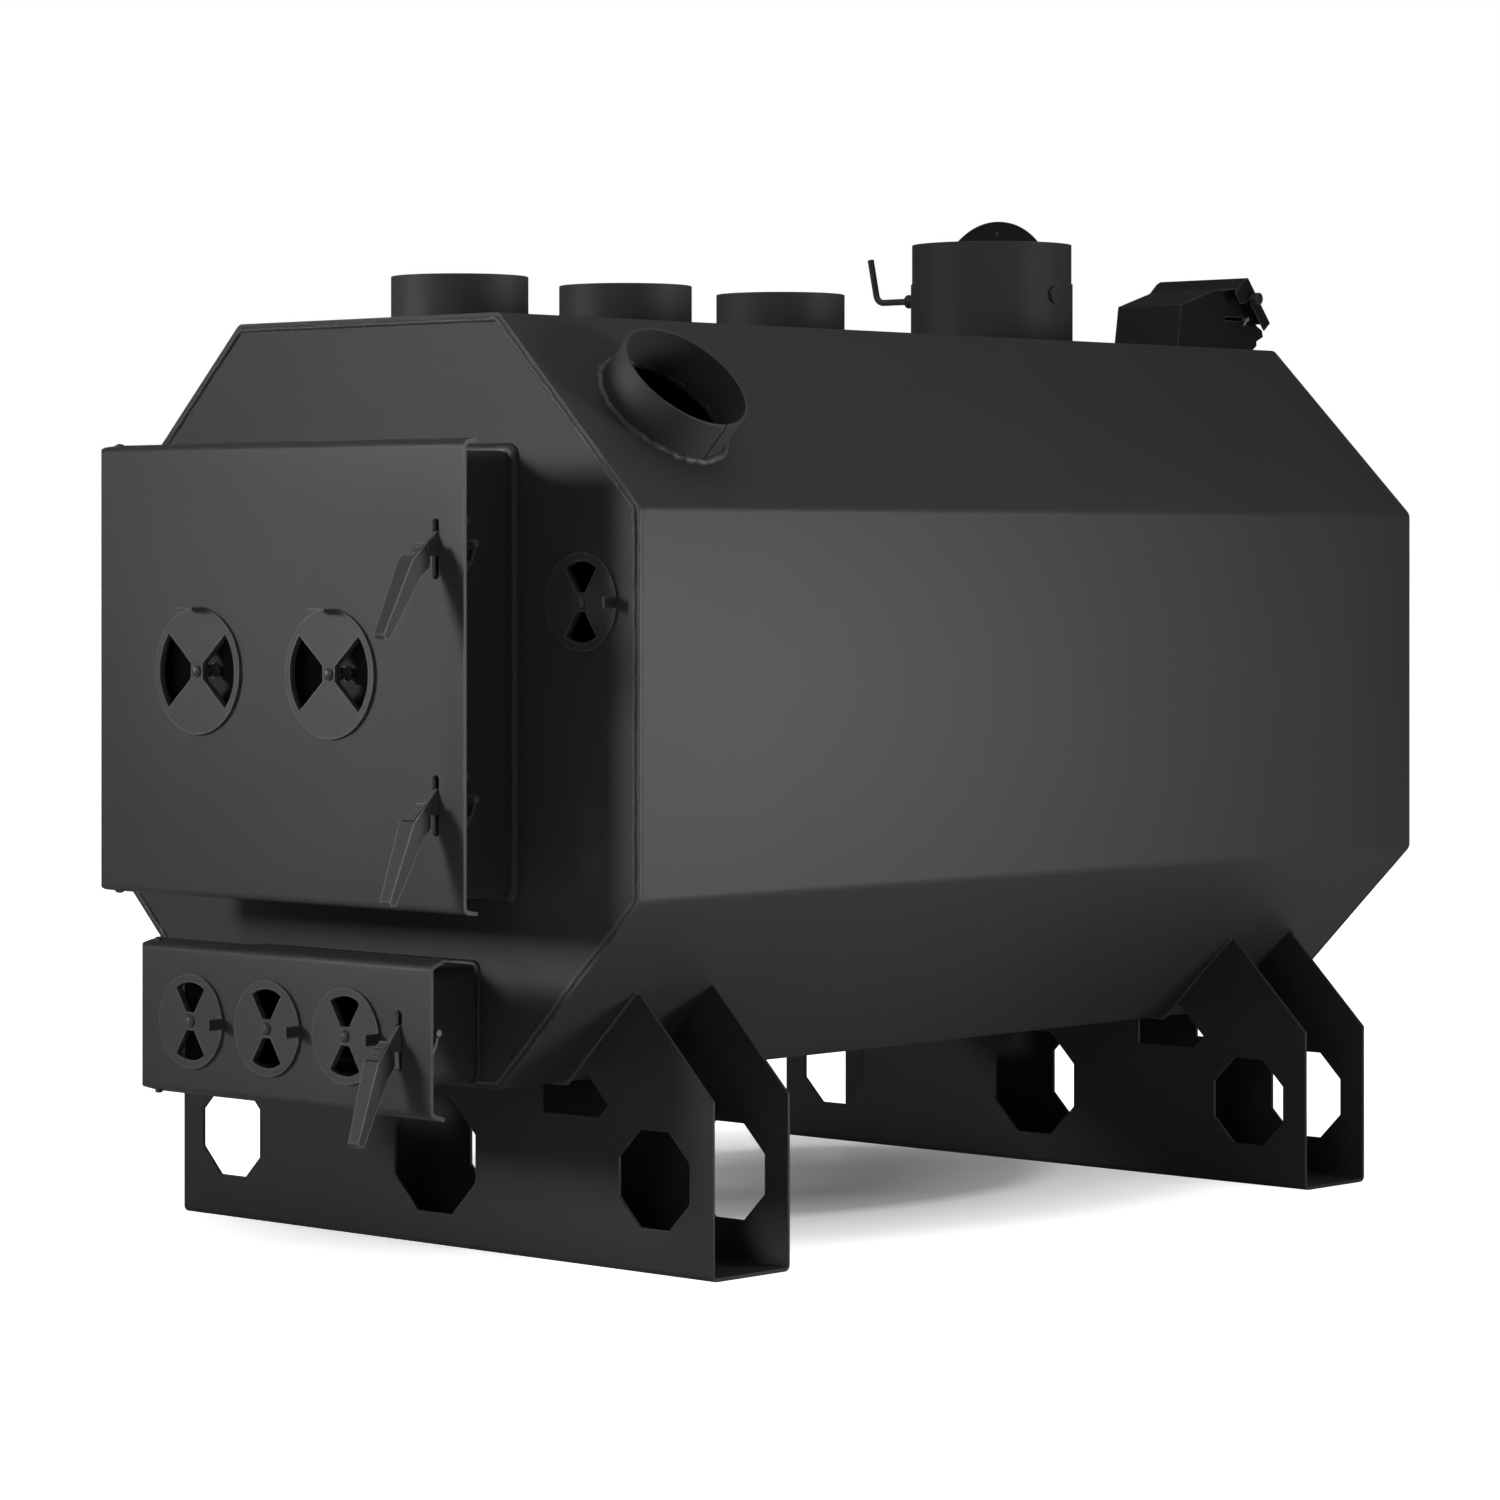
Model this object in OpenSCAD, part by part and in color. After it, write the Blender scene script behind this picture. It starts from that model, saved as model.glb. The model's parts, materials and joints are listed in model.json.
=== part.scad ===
// Forced-air heating stove: an eight-sided sheet steel body on two channel legs.
// Millimetres. +Z is up, the doors face -Y, and the origin is on the floor
// under the middle of the stove's width and length, grips and blower included.

/* [Body] */
// Width of the body across its side walls
body_w = 816; // [700:2:900]
// Height of the body from its underside to its top
body_h = 812; // [770:2:900]
// Length of the body over both end plates
body_l = 1346; // [1250:2:1500]
// Height and width that each corner slope takes off
corner = 204; // [190:1:212]
// Height of the underside above the floor
ground = 192; // [188:1:230]
// Thickness of the wrapped body sheet
shell_t = 4; // [3:0.5:6]
// Thickness of the two end plates
plate_t = 5; // [4:0.5:8]
// Outside radius of the bends along the body
bend_r = 12; // [8:1:20]

/* [Fire chamber] */
// Air gap between the chamber and the body's side walls
side_gap = 40; // [30:1:44]
// Air gap above the chamber
top_gap = 56; // [40:1:70]
// Air gap under the chamber
bottom_gap = 8; // [4:1:14]
// Height and width that each corner slope takes off the chamber
chamber_corner = 182; // [170:1:186]
// Thickness of the chamber walls
chamber_t = 5; // [4:0.5:8]
// Depth of the air space between the chamber and the rear plate
plenum_l = 146; // [120:1:180]
// Height of the grate above the floor
grate_z = 346; // [340:1:360]
// Thickness of the cast grate
grate_t = 16; // [12:1:20]
// Width of the grate
grate_w = 420; // [360:2:440]
// Length of the grate
grate_l = 760; // [600:2:900]
// Number of bars in the grate
grate_bars = 9; // [7:1:11]
// Width of one grate bar
grate_bar_w = 26; // [18:1:30]
// Gap between the ash pan and the chamber's slopes, each side
pan_side_gap = 34; // [27:1:60]
// Length of the ash pan
pan_l = 560; // [400:2:800]
// Height of the ash pan
pan_h = 74; // [50:1:85]
// Thickness of the ash pan sheet
pan_t = 2; // [1.5:0.5:3]
// Thickness of the smoke baffle
baffle_t = 6; // [4:1:8]
// Length of the smoke baffle
baffle_l = 700; // [500:2:900]
// Height of the baffle above the top of the loading opening
baffle_rise = 14; // [8:1:20]

/* [Warm air outlets] */
// Outside diameter of the outlet collars
outlet_d = 150; // [120:1:160]
// Height of the outlet collars
outlet_h = 50; // [40:1:80]
// Wall of the outlet collars
outlet_t = 3; // [2:0.5:4]
// Distance from the front plate to the first outlet
outlet_first = 140; // [120:1:150]
// Distance between the top outlets
outlet_pitch = 260; // [240:1:264]

/* [Flue] */
// Outside diameter of the flue collar
flue_d = 198; // [180:1:204]
// Height of the flue collar above the body
flue_h = 125; // [110:1:140]
// Wall of the flue collar
flue_t = 4; // [3:0.5:5]
// Distance from the flue to the rear plate
flue_back = 302; // [280:1:310]
// Height of the damper rod above the body
damper_rise = 61; // [50:1:64]
// Diameter of the damper disc
damper_d = 188; // [160:1:188]
// Thickness of the damper disc
damper_t = 3; // [2:0.5:4]
// Lean of the open damper disc from upright
damper_lean = 2; // [0:1:20]
// Diameter of the damper rod
rod_d = 8; // [6:0.5:10]
// Reach of the rod's handle from the flue axis
rod_reach = 188; // [170:1:220]
// Height of the rod's turned-up handle
rod_rise = 54; // [40:1:70]
// Length of the bushing that carries the rod
bushing_l = 34; // [20:1:40]
// Diameter of the bushing
bushing_d = 16; // [14:1:20]

/* [Legs] */
// Width of a leg over its ends
leg_w = 828; // [822:1:860]
// Depth of a leg channel
leg_depth = 119; // [90:1:130]
// Thickness of the leg sheet
leg_t = 4; // [3:0.5:6]
// Distance from an end plate to the outer face of a leg
leg_inset = 102; // [80:1:150]
// Height of a leg's straight end
leg_end_h = 190; // [184:1:205]
// Distance across the flats of the end holes
hole_w = 102; // [80:1:110]
// Height of the middle of all holes
hole_z = 99; // [96:1:104]
// Distance of the end holes' middle from the leg's end
hole_in = 84; // [82:1:95]
// Distance across the flats of the middle hole
middle_hole_w = 126; // [100:1:128]

/* [Loading door] */
// Width of the loading door
door_w = 573; // [566:1:580]
// Height of the loading door
door_h = 481; // [479:1:484]
// Height of the door's lower edge above the floor
door_z = 386; // [385:1:388]
// Distance from the front plate to the door's face
door_reach = 131; // [128:1:140]
// Thickness of the door sheet
door_t = 4; // [3:0.5:5]
// Depth of the folded edges
lip = 20; // [18:0.5:21]
// Angle by which the upper and lower folds spread
flare = 8; // [4:1:12]
// Width of the loading neck
neck_w = 452; // [440:1:456]
// Gap between the neck and the door's folded edges, above and below
neck_inset = 8; // [7:0.5:9]
// Wall of the door necks
neck_t = 4; // [3:0.5:5]
// Corner radius of the necks
neck_r = 14; // [8:1:20]
// Thickness of the sealing rope when the door is shut
rope_t = 8; // [6:0.5:9]
// Place of the door's left rosette, from its middle line
left_rosette_x = -120; // [-125:1:-110]
// Place of the door's right rosette, from its middle line
right_rosette_x = 88; // [84:1:95]
// Distance from the hinge axis to the door's left edge
hinge_in = 20.5; // [20:0.5:24]
// Distance from the door's face to the hinge axis
hinge_back = 13; // [12.5:0.5:14]
// Width of the heat shield behind the door
shield_w = 400; // [300:2:410]
// Height of the heat shield
shield_h = 410; // [300:2:420]
// Gap between the door and its heat shield
shield_gap = 28; // [26:1:40]
// Height of the upper latch above the door's middle
upper_rise = 135.5; // [120:0.5:150]
// Height of the lower latch below the door's middle
lower_drop = 126.5; // [110:0.5:140]

/* [Ash door] */
// Width of the ash door
ash_w = 457; // [450:1:460]
// Height of the ash door
ash_h = 154; // [152:1:156]
// Height of the ash door's lower edge above the floor
ash_z = 175; // [174:1:176]
// Distance from the front plate to the ash door's face
ash_reach = 122; // [120:1:128]
// Angle by which the ash door's folds spread
ash_flare = 18; // [12:1:20]
// Width of the ash neck
ash_neck_w = 344; // [340:1:345]
// Height of the ash neck
ash_neck_h = 124; // [120:1:125]
// Distance from the ash door's latch to its nearest rosette
ash_rosette_in = 78; // [76:1:82]
// Distance between the ash rosettes
ash_rosette_pitch = 122; // [116:1:140]

/* [Rosettes] */
// Diameter of the loading door's rosettes
big_d = 136; // [120:1:140]
// Diameter of the small rosettes
small_d = 102; // [90:1:104]
// Thickness of the rosette discs
rosette_t = 3; // [2.5:0.5:5]
// Half of the angle of an opening in the large rosettes
big_half = 41; // [30:1:43]
// Half of the angle of an opening in the small rosettes
small_half = 32.5; // [25:0.5:38]
// Width of the large rosettes' finger tab
big_tab_w = 26; // [16:1:30]
// Width of the small rosettes' finger tab
small_tab_w = 12; // [10:1:16]
// Length of the finger tabs
tab_l = 18; // [12:1:22]
// Diameter of the rosette bolts
bolt_d = 8; // [6:0.5:10]
// Distance of the front plate's rosettes from the body's sides
side_rosette_in = 81.4; // [78:0.2:86]
// Height of the front plate's rosettes above the floor
side_rosette_z = 702; // [640:1:740]

/* [Latches] */
// Thickness of a latch lever
lever_t = 6; // [5:0.5:7]
// Reach of a grip's tip from the latch pivot
grip_out = 97.5; // [90:0.5:110]
// Drop of a grip's tip below the latch pivot
grip_drop = 97; // [85:0.5:110]
// Radius of the cam at the back of the lever
cam_r = 37; // [36:0.5:38]
// Distance from the pivot to the keeper pin
keeper_out = 28.5; // [28:0.5:29]
// Diameter of the keeper pins
keeper_d = 8; // [6:0.5:8]
// Diameter of the latch pivots
pivot_d = 8; // [6:0.5:9]
// Distance from the pivot to the door's face
pivot_back = 18; // [17:0.5:19]
// Height of the slot in the door
slot_h = 63; // [60:1:66]
// Width of the slot in the door
slot_w = 10; // [9:0.5:12]
// Distance of the slot's middle below the pivot
slot_drop = 5.5; // [4:0.5:7]
// Distance of the loading door's latches from the middle line
latch_x = 245.5; // [244:0.5:248]
// Distance of the ash door's latch from the middle line
ash_latch_x = 181; // [180.5:0.5:186]
// Lean of the upper, lower and ash levers at rest
latch_leans = [0, 5, 9];

/* [Blower] */
// Width of the intake hood
hood_w = 102; // [90:1:110]
// Height of the hood's ridge above the body
hood_rise = 84; // [70:1:90]
// Thickness of the blower's sheet
hood_t = 2; // [1.5:0.5:3]
// Width of the intake cover
cover_w = 142; // [134:1:150]
// Width of the fan box
fan_box_w = 250; // [236:2:280]
// Height of the fan box
fan_box_h = 260; // [236:2:300]
// Depth of the fan box
fan_box_d = 104; // [96:1:120]
// Drop of the fan box's top below the body's top
fan_box_drop = 54; // [40:1:70]
// Diameter of the air opening in the rear plate
air_d = 206; // [180:1:210]
// Diameter of the fan impeller
fan_d = 196; // [160:1:198]
// Number of fan blades
fan_blades = 7; // [5:1:9]
// Diameter of the fan motor
motor_d = 84; // [60:1:90]
// Length of the fan motor
motor_l = 46; // [40:1:50]

/* [Fits] */
// Radial clearance of pins and rods in their bores
run_gap = 0.05; // [0.02:0.01:0.1]
// Clearance between faces that pass each other
face_gap = 0.3; // [0.3:0.05:0.6]

/* [Hidden] */
$fn = 64;

// One overrun serves all cuts
over = 20;

// The hood's side, back from the rear plate
hood_lean = 10;
hood_slope_l = 70;
hood_ridge_l = 49;
hood_mouth_l = 52;

front_reach = door_reach - pivot_back + grip_out;
rear_reach = face_gap + hood_lean + hood_slope_l + hood_ridge_l + hood_mouth_l;
front_y = (front_reach - body_l - rear_reach) / 2;
rear_y = front_y + body_l;
top_z = ground + body_h;
flat_half = body_w / 2 - corner;
slant = 45;
hole_x = leg_w / 2 - hole_in;
side_rosette_x = body_w / 2 - side_rosette_in;
door_rosette_x = [left_rosette_x, right_rosette_x];
ash_rosette_x = [for (i = [2:-1:0]) ash_latch_x - ash_rosette_in - i * ash_rosette_pitch];
paint = [0.13, 0.13, 0.135];
bare = [0.62, 0.62, 0.64];

// Fire chamber
chamber_w = body_w - 2 * shell_t - 2 * side_gap;
chamber_z0 = ground + shell_t + bottom_gap;
chamber_z1 = top_z - shell_t - top_gap;
pan_w = chamber_w - 2 * chamber_corner - 2 * pan_side_gap;
chamber_y0 = front_y + plate_t;
chamber_y1 = rear_y - plate_t - plenum_l;
grate_in = 120;
grate_y0 = chamber_y0 + grate_in;
rail_t = 4;
rail_w = 30;

// Outlets and flue
outlet_y = [for (i = [0:2]) front_y + outlet_first + i * outlet_pitch];
flue_y = rear_y - flue_back;
flue_r = flue_d / 2;
damper_z = top_z + damper_rise;
nut_d = 17;
nut_l = 5;
rod_bend = 12;
spigot_h = 48;
spigot_step = 1.5;
handle_lean = 12;
screw_head_d = 21;
screw_head_l = 4;
nut_x = -flue_r - bushing_l - face_gap;

// Legs
leg_bend = 7;
leg_shoulder = 4;
leg_peak_x = (leg_w / 2 - leg_shoulder + leg_end_h + flat_half - ground) / 2;
hole_corner = 30;
relief_w = 85;
relief_in = 40;
relief_d = 34;
relief_cut = 14;

// Doors
door_face = front_y - door_reach;
door_back = door_face + door_t;
door_x0 = -door_w / 2;
door_z1 = door_z + door_h;
door_mid = door_z + door_h / 2;
lip_r = 8;
lip_side_r = 7.5;
lip_corner_r = 12;
neck_y = door_back + rope_t;
neck_z0 = door_z + neck_inset;
neck_h = door_h - 2 * neck_inset;
rope_w = 9;
hinge_x = door_x0 + hinge_in;
hinge_y = door_face + hinge_back;
hinge_pin_d = 10;
hinge_head_d = 14;
hinge_head_h = 6;
hinge_eye = 8;
bracket_t = 10;
bracket_inset = 16;
ash_face = front_y - ash_reach;
ash_back = ash_face + door_t;
ash_x0 = -ash_w / 2;
ash_z1 = ash_z + ash_h;
ash_mid = ash_z + ash_h / 2;
ash_neck_y = ash_back + rope_t;
ash_neck_rise = 7;
ash_neck_z0 = ash_mid - ash_neck_h / 2 + ash_neck_rise;
ash_hinge_back = 12;
ash_hinge_in = 18.5;
ash_hinge_x = ash_x0 + ash_hinge_in;
ash_hinge_y = ash_face + ash_hinge_back;
ash_pin_d = 8;
ash_eye = 6.5;

// Rosettes
big_rim = 8;
small_rim = 9;
big_open = big_d / 2 - big_rim;
small_open = small_d / 2 - small_rim;
big_inner = 9.5;
small_inner = 9.7;
ash_rosette_drop = 2;
ash_rosette_z = ash_mid - ash_rosette_drop;
dome_d = 13;
dome_h = 4;
washer_d = 18;
washer_t = 2;
bolt_nut_w = 13;
bolt_nut_t = 7;
bolt_tail = 6;

// Latches
pivot_y = door_face + pivot_back;
ash_pivot_y = ash_face + pivot_back;
upper_z = door_mid + upper_rise;
lower_z = door_mid - lower_drop;
ash_latch_rise = 3.5;
ash_pivot_z = ash_mid + ash_latch_rise;
ear_t = 4;
ear_r = 10;
ear_gap = 0.5;
pivot_head_d = 12;
pivot_head_t = 1;
keeper_slack = 0.6;
mouth_low = -9.5;
mouth_high = 38;
slot_low = -34;
keeper_tail = 12;
slot_high = 10;
cam_front = 6;
cam_nose = 15;
cam_heel = 6;
arm_top = 13;
// Shares of the grip's reach and drop
tang_shares = [[0.308, 0.027], [0.482, -0.124], [0.513, -0.278], [0.441, -0.247], [0.369, -0.13]];
grip_side_shares = [[0.38, 0.016], [0.615, -0.16], [1, -0.948], [0.974, -0.995],
    [0.913, -1], [0.489, -0.35], [0.374, -0.247], [0.367, -0.13]];
tang = [for (p = tang_shares) [p[0] * grip_out, p[1] * grip_drop]];
grip_side = [for (p = grip_side_shares) [p[0] * grip_out, p[1] * grip_drop]];
arm_low = tang[4][1];
grip_top_w = 16;
grip_mid_w = 22;
grip_tip_w = 15;
grip_bend = grip_side[1][1];

// Blower, along Y from the rear plate and up from the body's top
hood_y = rear_y + face_gap;
hood_front_h = 63;
hood_mouth_drop = 57;
hood_toe_h = 12;
fan_in = 30;
hood_heel_in = 14;
fan_top = top_z - fan_box_drop;
fan_z = fan_top - fan_box_h / 2;
fan_y0 = rear_y + face_gap;
fan_y1 = fan_y0 + fan_box_d;
shaft_d = 8;
hub_d = 56;
hub_l = 24;
blade_w = 34;
blade_t = 2;
blade_pitch = 38;
fan_mid = fan_y0 + fan_in;
motor_y = fan_y1 - hood_t - motor_l;
gland_d = 20;
gland_l = 22;
gland_hole = 8;
thumb_d = 5;
thumb_knob_d = 15;
thumb_knob_t = 8;
thumb_neck_l = 4;
// Shares of the hood's mouth, back and up from the ridge's rear edge
cover_shares = [[-0.121, 0.286], [0.777, -0.707], [0.538, -0.886], [-0.058, -0.275],
    [-0.433, -0.311], [-0.646, -0.067], [-0.277, 0.221]];
thumb_shares = [0.0192, -0.1842];
hood_shares = [[0.952, -0.851], [0.75, -0.765]];
hood_lip_y = hood_lean + hood_slope_l + hood_ridge_l;
function mouth_point(p) = [hood_lip_y + p[0] * hood_mouth_l, hood_rise + p[1] * hood_mouth_drop];
cover_side = [for (p = cover_shares) mouth_point(p)];
thumb_y = mouth_point(thumb_shares)[0];
thumb_z = mouth_point(thumb_shares)[1];
cover_slope = atan2(cover_side[0][1] - cover_side[1][1], cover_side[1][0] - cover_side[0][0]);
throttle_z = 48;
throttle_y0 = 100;
throttle_slot_l = 47;
throttle_slot_h = 4;
throttle_l = 48;
throttle_rest = 43;
throttle_edge = 5;
throttle_drop = 8;
throttle_lug_w = 8;
throttle_stud = 3;
throttle_stud_d = 3.4;
throttle_screw_l = 14;
throttle_screw_d = 2.6;
throttle_screw_lean = 44;
throttle_collar_d = 5;
throttle_collar_l = 1.6;

// Corner points of an upright eight-sided outline with 45 degree corners
function octagon(w, z0, z1, c) = [[w / 2 - c, z0], [w / 2, z0 + c], [w / 2, z1 - c],
    [w / 2 - c, z1], [c - w / 2, z1], [-w / 2, z1 - c], [-w / 2, z0 + c], [c - w / 2, z0]];

// Unit vector from a to b
function way(a, b) = (b - a) / norm(b - a);

// An outline whose corners are rounded by arcs of short straight steps.
// r is one radius, or a list with a radius for each corner, where 0 keeps it sharp
function rounded(pts, r, steps = 5) = [for (i = [0:len(pts) - 1])
    let (radius = is_list(r) ? r[i] : r, p = pts[i], u = way(p, pts[(i + len(pts) - 1) % len(pts)]),
        v = way(p, pts[(i + 1) % len(pts)]), half = acos(u * v) / 2,
        c = p + way([0, 0], u + v) * radius / sin(half), a = p + u * radius / tan(half) - c,
        b = p + v * radius / tan(half) - c, t0 = atan2(a[1], a[0]), d = atan2(b[1], b[0]) - t0,
        turn = d > 180 ? d - 360 : d < -180 ? d + 360 : d)
    for (k = [0:(radius > 0 ? steps : 0)])
        radius > 0 ? c + radius * [cos(t0 + turn * k / steps), sin(t0 + turn * k / steps)] : p];

// An anticlockwise outline moved inwards by t
function inset(pts, t) = [for (i = [0:len(pts) - 1])
    let (p = pts[i], u = way(pts[(i + len(pts) - 1) % len(pts)], p),
        v = way(p, pts[(i + 1) % len(pts)]), m = [-u[1] - v[1], u[0] + v[0]])
    p + m * t / (1 + u * v)];

// Extrudes an XZ outline along Y
module along_y(y0, y1) {
    translate([0, y1, 0]) rotate([90, 0, 0]) linear_extrude(y1 - y0) children();
}

// Extrudes a YZ outline along X
module along_x(x0, x1) {
    translate([x0, 0, 0]) rotate([90, 0, 90]) linear_extrude(x1 - x0) children();
}

module rod_x(x0, x1, r) {
    translate([x0, 0, 0]) rotate([0, 90, 0]) cylinder(h = x1 - x0, r = r);
}

module rod_y(y0, y1, r) {
    translate([0, y0, 0]) rotate([-90, 0, 0]) cylinder(h = y1 - y0, r = r);
}

// Places its children on the right or left upper slope, with their Z square to it
module on_slope(side) {
    translate([side * (flat_half + corner / 2), outlet_y[0], top_z - corner / 2])
        rotate([0, side * slant, 0]) children();
}

module collar_tube(d, t, h) {
    difference() {
        cylinder(h = h, d = d);
        translate([0, 0, -over]) cylinder(h = h + 2 * over, d = d - 2 * t);
    }
}

// Body
module body_shell() {
    color(paint) difference() {
        along_y(front_y + plate_t, rear_y - plate_t)
            polygon(rounded(octagon(body_w, ground, top_z, corner), bend_r));
        along_y(front_y - over, rear_y + over)
            polygon(rounded(inset(octagon(body_w, ground, top_z, corner), shell_t),
                bend_r - shell_t));
        for (y = outlet_y)
            translate([0, y, top_z - over]) cylinder(h = 2 * over, d = outlet_d - 2 * outlet_t);
        translate([0, flue_y, top_z - over]) cylinder(h = 2 * over, r = flue_r + run_gap);
        for (side = [-1, 1])
            on_slope(side) translate([0, 0, -over])
                cylinder(h = 2 * over, d = outlet_d - 2 * outlet_t);
    }
}

module end_outline() {
    polygon(rounded(octagon(body_w, ground, top_z, corner), bend_r));
}

module neck_inside(w, z0, h) {
    polygon(rounded([[w / 2 - neck_t, z0 + neck_t], [w / 2 - neck_t, z0 + h - neck_t],
        [neck_t - w / 2, z0 + h - neck_t], [neck_t - w / 2, z0 + neck_t]], neck_r - neck_t));
}

module front_plate() {
    color(paint) difference() {
        along_y(front_y, front_y + plate_t) end_outline();
        along_y(front_y - over, front_y + over) neck_inside(neck_w, neck_z0, neck_h);
        along_y(front_y - over, front_y + over) neck_inside(ash_neck_w, ash_neck_z0, ash_neck_h);
        for (side = [-1, 1]) translate([side * side_rosette_x, 0, side_rosette_z]) {
            along_y(front_y - over, front_y + over)
                rotate(90) bow_tie(small_open, small_half, small_inner);
            rod_y(front_y - over, front_y + over, bolt_d / 2 + run_gap);
        }
    }
}

module rear_plate() {
    color(paint) difference() {
        along_y(rear_y - plate_t, rear_y) end_outline();
        translate([0, 0, fan_z]) rod_y(rear_y - over, rear_y + over, air_d / 2);
    }
}

// Fire chamber and what stands in it
module fire_chamber() {
    outline = octagon(chamber_w, chamber_z0, chamber_z1, chamber_corner);
    color(paint) difference() {
        along_y(chamber_y0, chamber_y1) polygon(outline);
        along_y(chamber_y0 - over, chamber_y1 + over) polygon(inset(outline, chamber_t));
        translate([0, flue_y, chamber_z1 - over])
            cylinder(h = 2 * over, r = flue_r - flue_t);
    }
}

module chamber_back() {
    color(paint) along_y(chamber_y1, chamber_y1 + chamber_t)
        polygon(octagon(chamber_w, chamber_z0, chamber_z1, chamber_corner));
}

module smoke_baffle() {
    z = neck_z0 + neck_h - neck_t + baffle_rise;
    rise = z - (chamber_z1 - chamber_corner);
    half = chamber_w / 2 - max(chamber_t, rise + baffle_t + chamber_t * sqrt(2)) - face_gap;
    color(paint) translate([-half, chamber_y1 - baffle_l, z]) cube([2 * half, baffle_l, baffle_t]);
}

module grate() {
    gap = (grate_w - grate_bars * grate_bar_w) / (grate_bars - 1);
    color("dimgray") translate([-grate_w / 2, grate_y0, grate_z]) union() {
        for (i = [0:grate_bars - 1])
            translate([i * (grate_bar_w + gap), 0, 0]) cube([grate_bar_w, grate_l, grate_t]);
        for (y = [0, (grate_l - grate_bar_w) / 2, grate_l - grate_bar_w])
            translate([0, y, 0]) cube([grate_w, grate_bar_w, grate_t]);
    }
}

// Two rails on the chamber's slopes carry the grate
module grate_rails() {
    z = grate_z - rail_t;
    slope = chamber_corner - (z - chamber_z0) + chamber_t * sqrt(2);
    reach = chamber_w / 2 - max(chamber_t, slope) - face_gap;
    x0 = grate_w / 2 - rail_w;
    color(paint) for (side = [0, 1]) mirror([side, 0, 0])
        translate([x0, grate_y0, z]) cube([reach - x0, grate_l, rail_t]);
}

module ash_pan() {
    z = chamber_z0 + chamber_t + face_gap;
    color("gray") translate([-pan_w / 2, grate_y0, z]) difference() {
        cube([pan_w, pan_l, pan_h]);
        translate([pan_t, pan_t, pan_t]) cube([pan_w - 2 * pan_t, pan_l - 2 * pan_t, pan_h]);
    }
}

// Legs
module octagon_hole(w, c) {
    polygon([[w / 2 - c, -w / 2], [w / 2, c - w / 2], [w / 2, w / 2 - c], [w / 2 - c, w / 2],
        [c - w / 2, w / 2], [-w / 2, w / 2 - c], [-w / 2, c - w / 2], [c - w / 2, -w / 2]]);
}

// Half of a leg's face: foot, end, peak, slope under the body, and relief at its corner
module leg_half_outline() {
    polygon([[0, 0], [leg_w / 2, 0], [leg_w / 2, leg_end_h - leg_shoulder],
        [leg_w / 2 - leg_shoulder, leg_end_h], [leg_peak_x, ground + leg_peak_x - flat_half],
        [flat_half, ground], [0, ground]]);
}

module leg_relief() {
    low = ground - relief_d;
    right = flat_half - relief_in + relief_w;
    polygon([[flat_half - relief_in, ground + over], [flat_half - relief_in, low],
        [right, low], [right + relief_cut, low + relief_cut],
        [right + relief_cut - relief_in, low + relief_cut + relief_in]]);
}

module leg_outline() {
    difference() {
        union() {
            leg_half_outline();
            mirror([1, 0]) leg_half_outline();
        }
        for (side = [0, 1]) mirror([side, 0]) {
            leg_relief();
            translate([hole_x, hole_z]) octagon_hole(hole_w, hole_corner);
        }
        translate([0, hole_z]) octagon_hole(middle_hole_w, hole_corner * middle_hole_w / hole_w);
    }
}

// The channel is bent from one sheet, so its lower long edges are round
module channel(y0) {
    u = rounded([[0, 0], [leg_depth, 0], [leg_depth, body_h], [0, body_h]], leg_bend);
    inner = rounded([[leg_t, leg_t], [leg_depth - leg_t, leg_t], [leg_depth - leg_t, body_h + over],
        [leg_t, body_h + over]], leg_bend - leg_t);
    intersection() {
        translate([0, y0, 0]) along_x(-leg_w / 2, leg_w / 2) difference() {
            polygon(u);
            polygon(inner);
        }
        union() {
            along_y(y0 - over, y0 + leg_depth + over) leg_outline();
            translate([-leg_w / 2, y0, 0]) cube([leg_w, leg_depth, leg_bend]);
        }
    }
}

module front_leg() {
    color(paint) channel(front_y + leg_inset);
}

module rear_leg() {
    color(paint) channel(rear_y - leg_inset - leg_depth);
}

// Outlets
module top_outlet(i) {
    color(paint) translate([0, outlet_y[i], top_z]) collar_tube(outlet_d, outlet_t, outlet_h);
}

module top_outlet_front() { top_outlet(0); }
module top_outlet_middle() { top_outlet(1); }
module top_outlet_rear() { top_outlet(2); }

module side_outlet(side) {
    color(paint) on_slope(side) collar_tube(outlet_d, outlet_t, outlet_h);
}

module side_outlet_right() { side_outlet(1); }
module side_outlet_left() { side_outlet(-1); }

// Flue, standing on the chamber and passing through the body
module flue_collar() {
    color(paint) difference() {
        translate([0, flue_y, chamber_z1]) {
            collar_tube(flue_d, flue_t, top_z + flue_h - spigot_h - chamber_z1);
            translate([0, 0, top_z + flue_h - spigot_h - chamber_z1])
                collar_tube(flue_d - 2 * spigot_step, flue_t - spigot_step, spigot_h);
        }
        translate([0, flue_y, damper_z])
            rod_x(-flue_r - over, flue_r + over, rod_d / 2 + run_gap);
    }
}

module damper_bushing() {
    color(paint) difference() {
        translate([0, flue_y, damper_z]) rod_x(-flue_r - bushing_l, -flue_r + flue_t / 2, bushing_d / 2);
        translate([0, flue_y, damper_z])
            rod_x(-flue_r - bushing_l - over, over, rod_d / 2 + run_gap);
        translate([0, flue_y, top_z]) cylinder(h = flue_h, r = flue_r);
    }
}

module damper_disc() {
    color(paint) translate([0, flue_y, damper_z]) rotate([-damper_lean, 0, 0])
        rod_y(rod_d / 2, rod_d / 2 + damper_t, damper_d / 2);
}

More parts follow.
